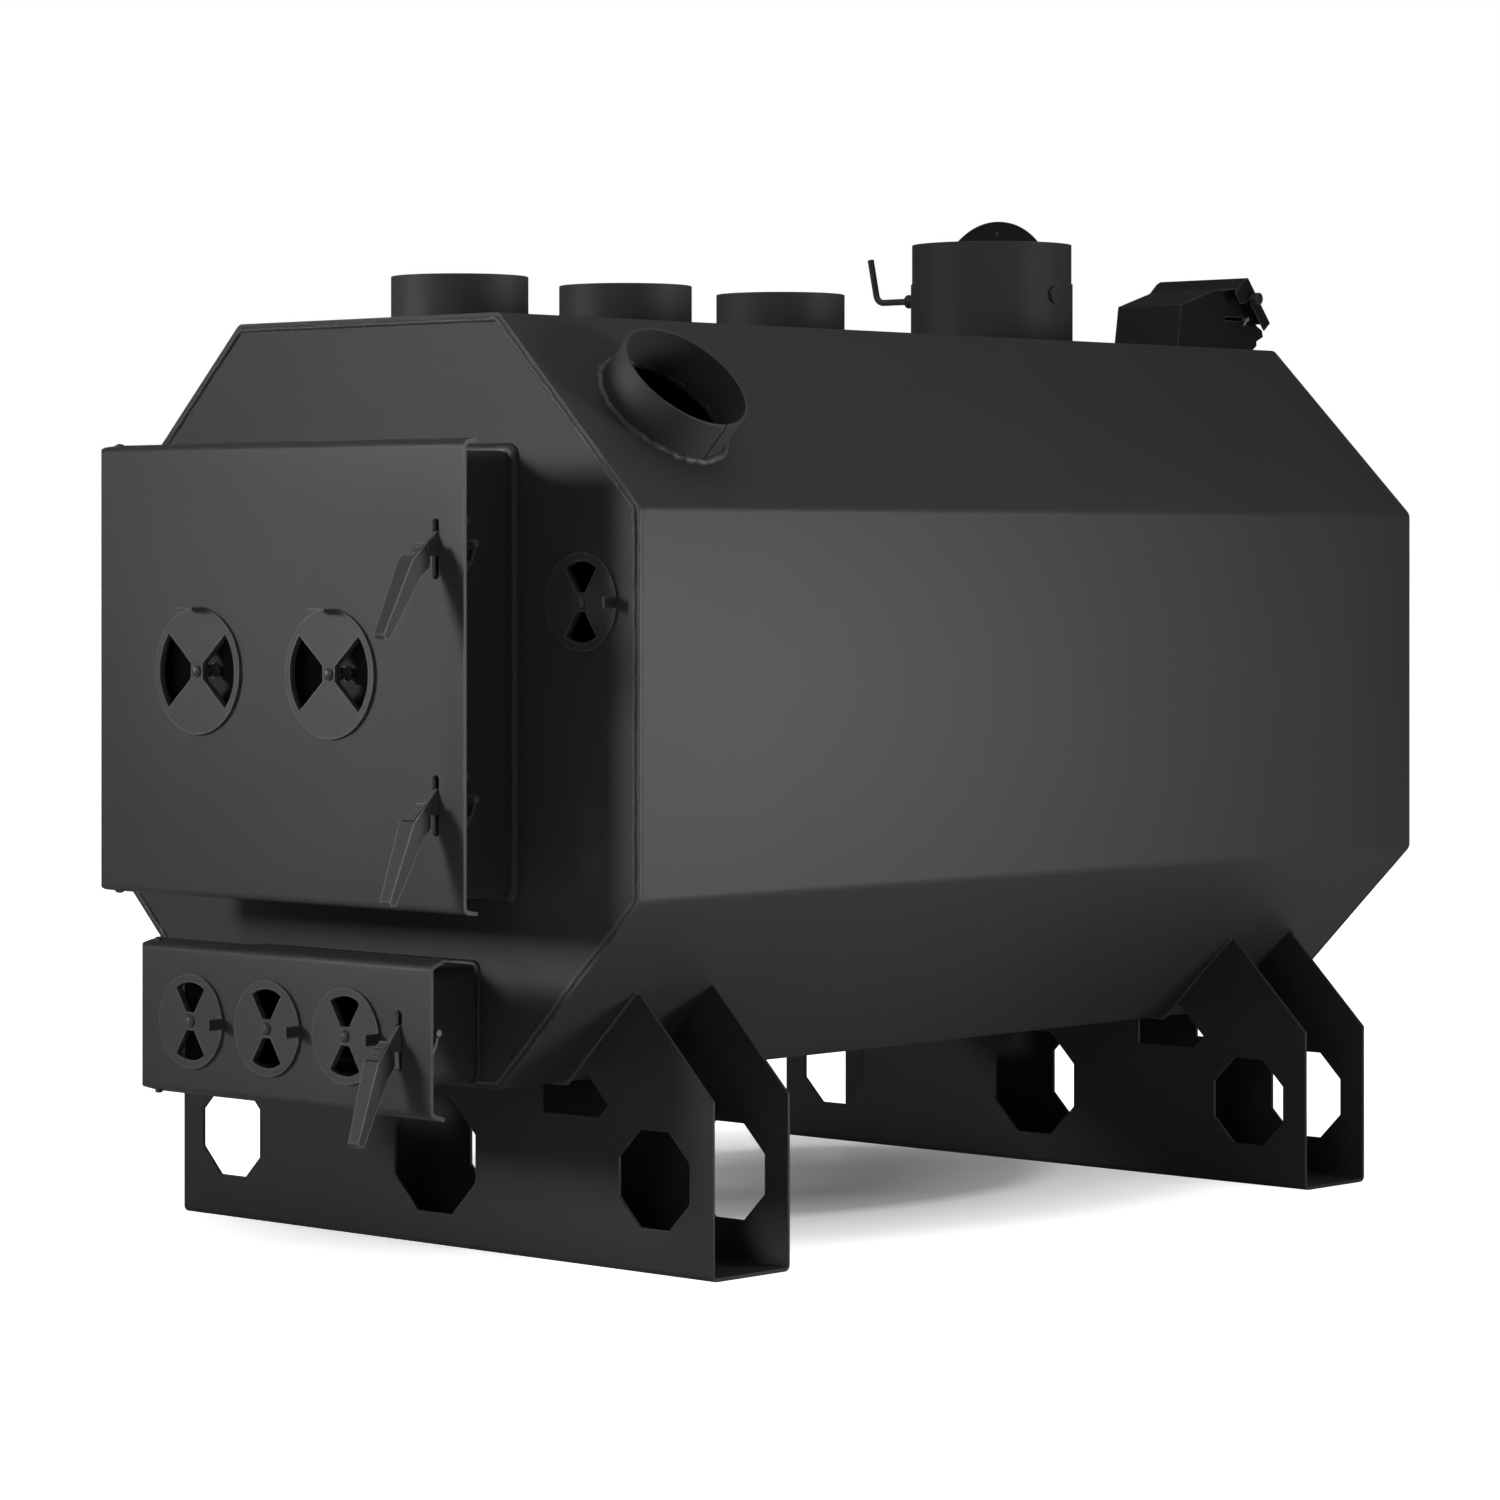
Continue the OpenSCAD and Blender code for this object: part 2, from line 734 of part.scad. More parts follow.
// The rod turns up into a handle outside the flue and ends in a screw head
module damper_rod() {
    bend_x = rod_bend - rod_reach;
    rise = rod_rise - rod_bend * (1 - sin(handle_lean));
    color(paint) translate([0, flue_y, damper_z]) {
        rod_x(bend_x, flue_r + screw_head_l / 2, rod_d / 2);
        rod_x(flue_r + face_gap, flue_r + screw_head_l, screw_head_d / 2);
        translate([bend_x, 0, rod_bend]) rotate([90, 180 - handle_lean, 0])
            rotate_extrude(angle = 90 - handle_lean) translate([rod_bend, 0])
                circle(r = rod_d / 2 - run_gap);
        translate([bend_x - rod_bend * cos(handle_lean), 0, rod_bend * (1 - sin(handle_lean))])
            rotate([0, -handle_lean, 0]) cylinder(h = rise / cos(handle_lean), d = rod_d);
    }
}

module damper_nut() {
    color(paint) translate([nut_x, flue_y, damper_z]) difference() {
        union() {
            rod_x(-nut_l / 3, 0, nut_d / 2);
            rotate([0, -90, 0]) cylinder(h = nut_l, d = nut_d * 0.75, $fn = 6);
        }
        rod_x(-nut_l - over, over, rod_d / 2 + run_gap);
    }
}

// Necks
module neck(w, z0, h, y0) {
    outer = [[w / 2, z0], [w / 2, z0 + h], [-w / 2, z0 + h], [-w / 2, z0]];
    difference() {
        along_y(y0, front_y) polygon(rounded(outer, neck_r));
        along_y(y0 - over, front_y + over) neck_inside(w, z0, h);
    }
}

module loading_neck() {
    color(paint) neck(neck_w, neck_z0, neck_h, neck_y);
}

module ash_neck() {
    color(paint) neck(ash_neck_w, ash_neck_z0, ash_neck_h, ash_neck_y);
}

// Hinges
module bracket(x, y, z, x1, eye, pin) {
    difference() {
        union() {
            translate([x, y, z]) cylinder(h = bracket_t, r = eye);
            translate([x, y - eye, z]) cube([x1 - x, 2 * eye, bracket_t]);
        }
        translate([x, y, z - over]) cylinder(h = bracket_t + 2 * over, d = pin + 2 * run_gap);
    }
}

module hinge_brackets() {
    color(paint) {
        for (z = [door_z + bracket_inset, door_z1 - bracket_inset - bracket_t])
            bracket(hinge_x, hinge_y, z, -neck_w / 2, hinge_eye, hinge_pin_d);
        for (z = [ash_z + bracket_inset + neck_r, ash_z1 - bracket_inset - neck_r - bracket_t])
            bracket(ash_hinge_x, ash_hinge_y, z, -ash_neck_w / 2, ash_eye, ash_pin_d);
    }
}

module hinge_pin(x, y, z0, z1, d, head) {
    translate([x, y, z0]) cylinder(h = z1 - z0, d = d);
    for (end = [0, 1]) translate([x, y, end ? z1 : z0]) mirror([0, 0, 1 - end])
        rotate_extrude() intersection() {
            translate([0, -head]) circle(r = head * 1.2);
            square([head, hinge_head_h]);
        }
}

module hinge_pins() {
    color(paint) {
        low = hinge_back * tan(flare) + hinge_head_d / 2 * tan(flare) + face_gap;
        ash_low = ash_hinge_back * tan(ash_flare) + hinge_head_d / 2 * tan(ash_flare) + face_gap;
        hinge_pin(hinge_x, hinge_y, door_z - low, door_z1 + low, hinge_pin_d, hinge_head_d / 2);
        hinge_pin(ash_hinge_x, ash_hinge_y, ash_z - ash_low, ash_z1 + ash_low, ash_pin_d,
            hinge_head_d / 2);
    }
}

// A door pan: a flat face with folded edges above, below and on the hinge side.
// Its upper and lower folds spread by an angle
module pan_side(z0, z1, face, depth, spread, r) {
    rise = depth * tan(spread);
    polygon(rounded([[face + depth, z0 - rise], [face, z0], [face, z1], [face + depth, z1 + rise]],
        [0, r, r, 0]));
}

module pan_plan(x0, x1, face, depth, r) {
    polygon(rounded([[x0, face + depth], [x0, face], [x1, face], [x1, face + depth]],
        [0, r, 0, 0]));
}

module pan_front(x0, x1, z0, z1, face, r) {
    along_y(face, face + lip + door_t)
        polygon(rounded([[x0, z0], [x1, z0], [x1, z1], [x0, z1]], [r, 0, 0, r]));
}
module pan(x0, x1, z0, z1, face, spread) {
    rise = lip * tan(spread);
    high = rise + over;
    fold = door_t / cos(spread) - door_t * tan(spread);
    difference() {
        intersection() {
            along_x(x0, x1) pan_side(z0, z1, face, lip, spread, lip_r);
            translate([0, 0, z0 - high]) linear_extrude(z1 - z0 + 2 * high)
                pan_plan(x0, x1, face, lip, lip_side_r);
            pan_front(x0, x1, z0 - rise, z1 + rise, face, lip_corner_r);
        }
        intersection() {
            along_x(x0, x1 + over)
                pan_side(z0 + fold, z1 - fold, face + door_t, lip, spread, lip_r - door_t);
            translate([0, 0, z0 - high]) linear_extrude(z1 - z0 + 2 * high)
                pan_plan(x0 + door_t, x1 + over, face + door_t, lip, lip_side_r - door_t);
            pan_front(x0 + door_t, x1 + over, z0 - rise + door_t / cos(spread),
                z1 + rise - door_t / cos(spread), face, lip_corner_r - door_t);
        }
    }
}

// Two opposed openings of a rosette, along the outline's X
module bow_tie(r, half, inner) {
    for (side = [0, 1]) mirror([side, 0]) intersection() {
        circle(r = r);
        polygon([[inner, -inner * tan(half)], [r, -r * tan(half)], [r, r * tan(half)],
            [inner, inner * tan(half)]]);
    }
}

module latch_slot(x, z, y) {
    translate([x, 0, z - slot_drop]) along_y(y - over, y + over) {
        square([slot_w, slot_h - slot_w], center = true);
        for (end = [-1, 1]) translate([0, end * (slot_h - slot_w) / 2]) circle(d = slot_w);
    }
}

// Two ears on the back of a door carry a latch's pivot
module ears(x, y, z, back) {
    for (side = [-1, 1]) {
        x0 = x + side * (lever_t / 2 + ear_gap + ear_t / 2) - ear_t / 2;
        difference() {
            translate([x0, 0, 0]) union() {
                translate([0, y, z]) rod_x(0, ear_t, ear_r);
                translate([0, back, z - ear_r]) cube([ear_t, y - back, 2 * ear_r]);
            }
            translate([0, y, z]) rod_x(x0 - over, x0 + over, pivot_d / 2 + run_gap);
        }
    }
}

module rosette_hole(x, z, y, r, half, inner, turn) {
    translate([x, 0, z]) {
        along_y(y - over, y + over) rotate(turn) bow_tie(r, half, inner);
        rod_y(y - over, y + over, bolt_d / 2 + run_gap);
    }
}

module loading_door() {
    color(paint) difference() {
        union() {
            pan(door_x0, -door_x0, door_z, door_z1, door_face, flare);
            for (z = [upper_z, lower_z]) ears(latch_x, pivot_y, z, door_back);
        }
        for (x = door_rosette_x)
            rosette_hole(x, door_mid, door_face, big_open, big_half, big_inner, 0);
        for (z = [upper_z, lower_z]) {
            intersection() {
                latch_slot(latch_x, z, door_face);
                translate([0, door_face - over, 0]) cube([door_w, over + door_t, door_z1]);
            }
        }
        translate([hinge_x, hinge_y, 0])
            cylinder(h = 2 * top_z, d = hinge_pin_d + 2 * run_gap);
    }
}

module rope(w, z0, h, y) {
    difference() {
        along_y(y, y + rope_t) polygon(rounded([[w / 2, z0], [w / 2, z0 + h], [-w / 2, z0 + h],
            [-w / 2, z0]], neck_r));
        along_y(y - over, y + rope_t + over) polygon(rounded([[w / 2 - rope_w, z0 + rope_w],
            [w / 2 - rope_w, z0 + h - rope_w], [rope_w - w / 2, z0 + h - rope_w],
            [rope_w - w / 2, z0 + rope_w]], neck_r - rope_w));
    }
}

module loading_gasket() {
    color("lightgray") rope(neck_w, neck_z0, neck_h, door_back);
}

// A loose plate on four studs behind the loading door
module heat_shield() {
    stud_in = 30;
    color("dimgray") {
        translate([-shield_w / 2, door_back + shield_gap, door_mid - shield_h / 2])
            cube([shield_w, door_t, shield_h]);
        for (sx = [-1, 1], sz = [-1, 1])
            translate([sx * (shield_w / 2 - stud_in), 0, door_mid + sz * (shield_h / 2 - stud_in)])
                rod_y(door_back, door_back + shield_gap + door_t, bolt_d);
    }
}

module rosette_bolt(x, z, face, plate) {
    translate([x, 0, z]) {
        front = face - rosette_t - 2 * face_gap;
        back = face + plate;
        rod_y(front, back + washer_t + bolt_nut_t + bolt_tail, bolt_d / 2);
        rod_y(back, back + washer_t, washer_d / 2);
        translate([0, back + washer_t, 0]) rotate([-90, 0, 0])
            cylinder(h = bolt_nut_t, d = bolt_nut_w / cos(30), $fn = 6);
        translate([0, front, 0]) rotate([90, 0, 0]) rotate_extrude() intersection() {
            translate([0, -dome_h]) circle(r = dome_d * 0.66);
            square([dome_d / 2, dome_h]);
        }
    }
}

module door_rosette_bolts() {
    color(paint) for (x = door_rosette_x) rosette_bolt(x, door_mid, door_face, door_t);
}

module ash_rosette_bolts() {
    color(paint) for (i = [0:2])
        rosette_bolt(ash_rosette_x[i], ash_rosette_z, ash_face, door_t);
}

module front_rosette_bolts() {
    color(paint) for (side = [-1, 1])
        rosette_bolt(side * side_rosette_x, side_rosette_z, front_y, plate_t);
}

// A turning disc with two openings and a bent finger tab at the given angle
module rosette(x, z, face, d, r, half, inner, tab_w, turn, tab_turn) {
    back = face - face_gap;
    color(paint) translate([x, 0, z]) difference() {
        union() {
            rod_y(back - rosette_t, back, d / 2);
            rotate([0, -tab_turn, 0]) {
                translate([d / 2 - tab_w / 2, back - rosette_t, -tab_w / 2])
                    cube([tab_w / 2, rosette_t, tab_w]);
                translate([d / 2 - rosette_t / 2, back - rosette_t - tab_l, -tab_w / 2])
                    cube([rosette_t / 2, tab_l + rosette_t, tab_w]);
            }
        }
        along_y(back - over, back + over) rotate(turn) bow_tie(r, half, inner);
        rod_y(back - over, back + over, bolt_d / 2 + run_gap);
    }
}

module door_rosette(x) {
    rosette(x, door_mid, door_face, big_d, big_open, big_half, big_inner, big_tab_w, 0, 90);
}

module door_rosette_left() { door_rosette(door_rosette_x[0]); }
module door_rosette_right() { door_rosette(door_rosette_x[1]); }

module small_rosette(x, z, face) {
    rosette(x, z, face, small_d, small_open, small_half, small_inner, small_tab_w, 90, 0);
}

module ash_rosette(i) {
    small_rosette(ash_rosette_x[i], ash_rosette_z, ash_face);
}

module ash_rosette_left() { ash_rosette(0); }
module ash_rosette_middle() { ash_rosette(1); }
module ash_rosette_right() { ash_rosette(2); }
module front_rosette_right() { small_rosette(side_rosette_x, side_rosette_z, front_y); }
module front_rosette_left() { small_rosette(-side_rosette_x, side_rosette_z, front_y); }

// Latches. In a latch's own outline X points back from the pivot, and Y is up
module cam_cut(lean) {
    low_r = keeper_out - keeper_d / 2 - keeper_slack;
    high_r = keeper_out + keeper_d / 2 + keeper_slack;
    wide = 2 * cam_r;
    difference() {
        intersection() {
            circle(r = wide);
            polygon([[0, 0], wide * [cos(mouth_low - lean), sin(mouth_low - lean)],
                wide * [1.5, 0.5], wide * [cos(mouth_high - lean), sin(mouth_high - lean)]]);
        }
        circle(r = low_r);
    }
    intersection() {
        difference() {
            circle(r = high_r);
            circle(r = low_r);
        }
        polygon([[0, 0], wide * [cos(slot_low - lean), sin(slot_low - lean)], wide * [1, 0],
            wide * [cos(slot_high), sin(slot_high)]]);
    }
}

// The lever's arm and the tang inside the grip
module tang_outline() {
    mirror([1, 0]) polygon(concat([[0, arm_low], [0, arm_top], [pivot_back, arm_top]], tang));
}

module lever_outline(lean) {
    difference() {
        union() {
            intersection() {
                circle(r = cam_r);
                polygon([[-cam_front, -cam_r], [cam_r, -cam_r], [cam_r, cam_r],
                    [cam_heel, cam_r], [-cam_front, cam_nose]]);
            }
            tang_outline();
        }
        cam_cut(lean);
        circle(r = pivot_d / 2 + run_gap);
    }
}

module lever(x, y, z, lean) {
    color(paint) translate([x, y, z]) rotate([lean, 0, 0])
        along_x(-lever_t / 2, lever_t / 2) lever_outline(lean);
}

// The grip is cast round the lever's tang and tapers to its tip
module grip(x, y, z, lean) {
    low = grip_side[4][1] - over;
    widths = [[grip_top_w / 2, over], [grip_top_w / 2, grip_side[0][1]],
        [grip_mid_w / 2, grip_bend], [grip_tip_w / 2, grip_side[4][1]], [grip_tip_w / 2, low]];
    front = concat(widths, [for (i = [1:len(widths)])
        [-widths[len(widths) - i][0], widths[len(widths) - i][1]]]);
    color("black") translate([x, y, z]) rotate([lean, 0, 0]) difference() {
        intersection() {
            along_x(-over, over) mirror([1, 0]) polygon(grip_side);
            along_y(-body_l, 0) polygon(front);
        }
        along_x(-lever_t / 2, lever_t / 2) tang_outline();
    }
}

module upper_lever() { lever(latch_x, pivot_y, upper_z, latch_leans[0]); }
module lower_lever() { lever(latch_x, pivot_y, lower_z, latch_leans[1]); }
module ash_lever() { lever(ash_latch_x, ash_pivot_y, ash_pivot_z, latch_leans[2]); }
module upper_grip() { grip(latch_x, pivot_y, upper_z, latch_leans[0]); }
module lower_grip() { grip(latch_x, pivot_y, lower_z, latch_leans[1]); }
module ash_grip() { grip(ash_latch_x, ash_pivot_y, ash_pivot_z, latch_leans[2]); }

module latch_pivot(x, y, z) {
    half = lever_t / 2 + ear_gap + ear_t;
    color(paint) translate([x, y, z]) {
        rod_x(-half - pivot_head_t, half + pivot_head_t, pivot_d / 2);
        for (side = [0, 1]) mirror([side, 0, 0]) rod_x(half, half + pivot_head_t, pivot_head_d / 2);
    }
}

module door_latch_pivots() {
    for (z = [upper_z, lower_z]) latch_pivot(latch_x, pivot_y, z);
}

module ash_latch_pivot() { latch_pivot(ash_latch_x, ash_pivot_y, ash_pivot_z); }

module keeper_pins() {
    color(paint) {
        for (z = [upper_z, lower_z]) translate([0, pivot_y + keeper_out, z])
            rod_x(neck_w / 2, latch_x + keeper_tail, keeper_d / 2);
        translate([0, ash_pivot_y + keeper_out, ash_pivot_z])
            rod_x(ash_neck_w / 2, ash_latch_x + keeper_tail, keeper_d / 2);
    }
}

module ash_door() {
    color(paint) difference() {
        union() {
            pan(ash_x0, -ash_x0, ash_z, ash_z1, ash_face, ash_flare);
            ears(ash_latch_x, ash_pivot_y, ash_pivot_z, ash_back);
        }
        for (x = ash_rosette_x)
            rosette_hole(x, ash_rosette_z, ash_face, small_open, small_half, small_inner, 90);
        intersection() {
            latch_slot(ash_latch_x, ash_pivot_z, ash_face);
            translate([0, ash_face - over, 0]) cube([ash_w, over + door_t, ash_z1]);
        }
        translate([ash_hinge_x, ash_hinge_y, 0])
            cylinder(h = 2 * ash_z1, d = ash_pin_d + 2 * run_gap);
    }
}

module ash_gasket() {
    color("lightgray") rope(ash_neck_w, ash_neck_z0, ash_neck_h, ash_back);
}

// Blower. Its outline runs back from the rear plate and up from the body's top
function hood_points() = let (ridge = hood_lean + hood_slope_l,
        lip_y = ridge + hood_ridge_l, toe_y = lip_y + hood_mouth_l,
        toe_z = hood_rise - hood_mouth_drop, depth = fan_box_d)
    [[0, -fan_box_drop], [depth, -fan_box_drop], [depth, -fan_box_drop / 2],
        [toe_y - hood_heel_in, toe_z - hood_toe_h], [toe_y - hood_heel_in, toe_z - hood_toe_h / 2],
        [toe_y, toe_z], mouth_point(hood_shares[0]), mouth_point(hood_shares[1]),
        [lip_y, hood_rise], [ridge, hood_rise], [hood_lean, hood_front_h], [0, 0]];

module blower_hood() {
    pts = hood_points();
    inner = inset(pts, hood_t);
    side = hood_w / 2;
    color(paint) difference() {
        translate([0, hood_y, top_z]) along_x(-side, side) polygon(pts);
        translate([0, hood_y, top_z]) along_x(hood_t - side, side - hood_t) {
            polygon(inner);
            polygon([inner[0], inner[1], inner[1] - [0, over], inner[0] - [0, over]]);
            polygon([inner[8], inner[7], inner[6], inner[5], inner[5] + [over, over],
                inner[8] + [over, over]]);
        }
        translate([0, hood_y + thumb_y, top_z + thumb_z])
            rod_x(-side - over, side + over, thumb_d / 2 + run_gap);
        translate([0, hood_y + throttle_y0, top_z + throttle_z - throttle_slot_h / 2])
            cube([side + over, throttle_slot_l, throttle_slot_h]);
    }
}

module fan_box() {
    color(paint) difference() {
        translate([-fan_box_w / 2, fan_y0, fan_top - fan_box_h])
            cube([fan_box_w, fan_box_d, fan_box_h]);
        translate([hood_t - fan_box_w / 2, fan_y0 + hood_t, fan_top - fan_box_h + hood_t])
            cube([fan_box_w - 2 * hood_t, fan_box_d - 2 * hood_t, fan_box_h - 2 * hood_t]);
        translate([0, 0, fan_z]) rod_y(fan_y0 - over, fan_y0 + over, air_d / 2);
        translate([hood_t - hood_w / 2, fan_y0 + hood_t, fan_top - over])
            cube([hood_w - 2 * hood_t, fan_box_d - 2 * hood_t, 2 * over]);
        translate([fan_box_w / 2, fan_y1 - fan_box_d / 3, fan_top - fan_box_h / 4])
            rod_x(-over, over, gland_d / 3);
    }
}

module fan_motor() {
    color("dimgray") translate([0, 0, fan_z]) difference() {
        rod_y(motor_y, fan_y1 - hood_t, motor_d / 2);
        rod_y(motor_y - over, motor_y + motor_l / 2, shaft_d / 2 + run_gap);
    }
}

module fan_impeller() {
    color("gray") translate([0, 0, fan_z]) {
        rod_y(fan_mid - hub_l / 2, fan_mid + hub_l / 2, hub_d / 2);
        rod_y(fan_mid, motor_y + motor_l / 2 - face_gap, shaft_d / 2);
        intersection() {
            rod_y(fan_mid - blade_w, fan_mid + blade_w, fan_d / 2);
            for (i = [0:fan_blades - 1]) rotate([0, i * 360 / fan_blades, 0])
                translate([hub_d / 2 - hood_t, fan_mid, 0]) rotate([blade_pitch, 0, 0])
                    translate([0, -blade_t / 2, -blade_w / 2]) cube([fan_d, blade_t, blade_w]);
        }
    }
}

module cable_gland() {
    color("black") translate([fan_box_w / 2, fan_y1 - fan_box_d / 3, fan_top - fan_box_h / 4])
        difference() {
            union() {
                rotate([0, 90, 0]) cylinder(h = gland_l / 2, d = gland_d, $fn = 6);
                rod_x(gland_l / 2, gland_l, gland_d * 0.4);
            }
            rod_x(-over, gland_l + over, gland_hole / 2);
        }
}

// The intake cover lies over the hood's mouth. Open slots in its cheeks let it slide
// out square to its plate once the thumb screws are slack
module intake_cover() {
    half = cover_w / 2;
    inner = inset(cover_side, -hood_t);
    down = way(cover_side[0], cover_side[1]);
    forward = way(cover_side[6], cover_side[5]);
    color(paint) difference() {
        translate([0, hood_y, top_z]) difference() {
            along_x(-half, half) polygon(cover_side);
            along_x(hood_t - half, half - hood_t) {
                polygon([inner[0], inner[6], inner[6] + 8 * over * forward,
                    inner[0] + 8 * over * down]);
                square([hood_lip_y, hood_rise + face_gap]);
            }
        }
        translate([0, hood_y + thumb_y, top_z + thumb_z]) rotate([90 - cover_slope, 0, 0]) {
            rod_x(-half - over, half + over, thumb_d / 2 + face_gap);
            translate([-half - over, -2 * over, -thumb_d / 2 - face_gap])
                cube([2 * half + 2 * over, 2 * over, thumb_d + 2 * face_gap]);
        }
    }
}

module thumb_screw(s) {
    seat = cover_w / 2 + face_gap;
    color(paint) translate([0, hood_y + thumb_y, top_z + thumb_z]) mirror([s > 0 ? 0 : 1, 0, 0]) {
        rod_x(hood_w / 2 - 2 * hood_t, seat + thumb_knob_t, thumb_d / 2);
        rod_x(seat, seat + thumb_neck_l, thumb_d);
        rod_x(seat + thumb_neck_l, seat + thumb_neck_l + thumb_knob_t, thumb_knob_d / 2);
    }
}

module thumb_screw_right() { thumb_screw(1); }
module thumb_screw_left() { thumb_screw(-1); }

// A slide under the slot, with a lug that reaches up to its screw
module throttle_plate() {
    half = hood_w / 2 - hood_t - face_gap;
    color(paint) translate([0, hood_y + throttle_y0 + throttle_rest, top_z + throttle_z]) {
        translate([-half, throttle_edge - throttle_l, -throttle_drop])
            cube([2 * half, throttle_l, hood_t]);
        translate([half - hood_t, -throttle_lug_w / 2, -throttle_drop])
            cube([hood_t, throttle_lug_w, throttle_drop + throttle_lug_w / 2]);
    }
}

module throttle_screw() {
    out = hood_w / 2 + throttle_stud;
    color(bare) translate([0, hood_y + throttle_y0 + throttle_rest, top_z + throttle_z]) {
        rod_x(hood_w / 2 - hood_t - face_gap, out, throttle_stud_d / 2);
        translate([out, 0, 0]) rotate([throttle_screw_lean - 90, 0, 0]) {
            translate([0, 0, -throttle_screw_l * 0.7])
                cylinder(h = throttle_screw_l, d = throttle_screw_d);
            translate([0, 0, -throttle_collar_l / 2])
                cylinder(h = throttle_collar_l, d = throttle_collar_d);
            translate([0, 0, -throttle_screw_l * 0.7])
                cylinder(h = throttle_collar_l, d = throttle_collar_d * 0.75);
        }
    }
}

body_shell();
front_plate();
rear_plate();
fire_chamber();
chamber_back();
smoke_baffle();
grate();
grate_rails();
ash_pan();
front_leg();
rear_leg();
top_outlet_front();
top_outlet_middle();
top_outlet_rear();
side_outlet_right();
side_outlet_left();
flue_collar();
damper_bushing();
loading_neck();
ash_neck();
hinge_brackets();
hinge_pins();
keeper_pins();
front_rosette_bolts();
blower_hood();
fan_box();
fan_motor();
cable_gland();
damper_disc();
damper_rod();
damper_nut();
fan_impeller();
intake_cover();
throttle_plate();
throttle_screw();
thumb_screw_right();
thumb_screw_left();
loading_door();
loading_gasket();
heat_shield();
door_rosette_bolts();
door_latch_pivots();
upper_lever();
upper_grip();
lower_lever();
lower_grip();
door_rosette_left();
door_rosette_right();
ash_door();
ash_gasket();
ash_rosette_bolts();
ash_latch_pivot();
ash_lever();
ash_grip();
ash_rosette_left();
ash_rosette_middle();
ash_rosette_right();
front_rosette_right();
front_rosette_left();
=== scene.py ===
import json
import math

import bpy
from mathutils import Matrix, Vector


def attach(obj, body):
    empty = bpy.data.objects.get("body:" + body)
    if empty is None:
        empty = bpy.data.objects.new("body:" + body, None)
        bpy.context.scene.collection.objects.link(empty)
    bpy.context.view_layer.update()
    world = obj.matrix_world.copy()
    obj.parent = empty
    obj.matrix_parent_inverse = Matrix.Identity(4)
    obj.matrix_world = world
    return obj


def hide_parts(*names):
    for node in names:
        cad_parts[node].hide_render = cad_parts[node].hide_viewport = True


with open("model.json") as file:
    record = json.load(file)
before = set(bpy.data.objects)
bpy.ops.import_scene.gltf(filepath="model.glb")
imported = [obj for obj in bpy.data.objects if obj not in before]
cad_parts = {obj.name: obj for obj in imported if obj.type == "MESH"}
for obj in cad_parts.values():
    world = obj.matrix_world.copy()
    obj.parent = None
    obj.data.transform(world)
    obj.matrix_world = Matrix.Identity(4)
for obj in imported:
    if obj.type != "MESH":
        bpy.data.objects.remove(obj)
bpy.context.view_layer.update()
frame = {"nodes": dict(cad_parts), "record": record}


# ---------------------------------------------------------------- sizes and places

# Metres in the part's own frame: X to the right, Y to the rear, Z up from the floor.
FRONT = -0.6584                  # outer face of the front end plate
REAR = 0.6876                    # outer face of the rear end plate
TOP = 1.004                      # top of the body
BOTTOM = 0.192                   # underside of the body
SLOPE = math.radians(45)         # how far the body's slopes lean
OUTLET_Y = {"front": -0.5184, "middle": -0.2584, "rear": 0.0016}
OUTLET_RADIUS = 0.075            # outside of a warm air collar
SIDE_OUTLET_FOOT = (0.3062, 0.9022)     # X and Z of a side collar's middle at its foot,
SIDE_OUTLET_RIM = (0.3414, 0.9374)      # and at its rim
FLUE_Y = 0.3856
FLUE_RADIUS = 0.099
LEG_INSET = 0.102                # from an end plate to the nearer face of its leg
LEG_DEPTH = 0.119
LOADING_NECK = (0.226, 0.394, 0.859)    # half of its width, its bottom and its top
ASH_NECK = (0.172, 0.197, 0.321)
DOOR_SHEET = 0.004
PLATE_SHEET = 0.005

SHEET_EDGE = 0.0008              # how widely edges are rounded: sheets and plates,
HOOD_EDGE = 0.0006               # the blower's thin sheet and the keeper pins,
SMALL_EDGE = 0.0005              # small parts,
ROSETTE_EDGE = 0.0009            # the rosettes,
HANDLED_EDGE = 0.0012            # and what a hand or a tool takes hold of
SOFT_ANGLE = 60                  # welds and ropes are shaded smooth up to this angle
SKIN = 0.0002                    # how far a weld's line lies outside the sheet

QUARTER = math.radians(90)
ALONG_X = (0, QUARTER, 0)        # turns an upright bar to lie along X
ALONG_Y = (QUARTER, 0, 0)
SIDES = (("right", 1), ("left", -1))

COLOUR_MIX = {"share": 0, "first": 6, "second": 7, "result": 2}    # its sockets' numbers


# ---------------------------------------------------------------- shader nodes

class Wire:
    """What a shader node gives out. Sums on it add Math nodes."""

    def __init__(self, sheet, socket):
        self.sheet = sheet
        self.socket = socket

    def sum(self, operation, first, second):
        return self.sheet.node("ShaderNodeMath", {"operation": operation}, {0: first, 1: second})

    def __add__(self, other):
        return self.sum("ADD", self, other)

    def __radd__(self, other):
        return self.sum("ADD", other, self)

    def __sub__(self, other):
        return self.sum("SUBTRACT", self, other)

    def __rsub__(self, other):
        return self.sum("SUBTRACT", other, self)

    def __mul__(self, other):
        return self.sum("MULTIPLY", self, other)

    def __rmul__(self, other):
        return self.sum("MULTIPLY", other, self)


def grey(level, warm=0.0):
    return (level * (1 + warm), level, level * (1 - warm), 1)


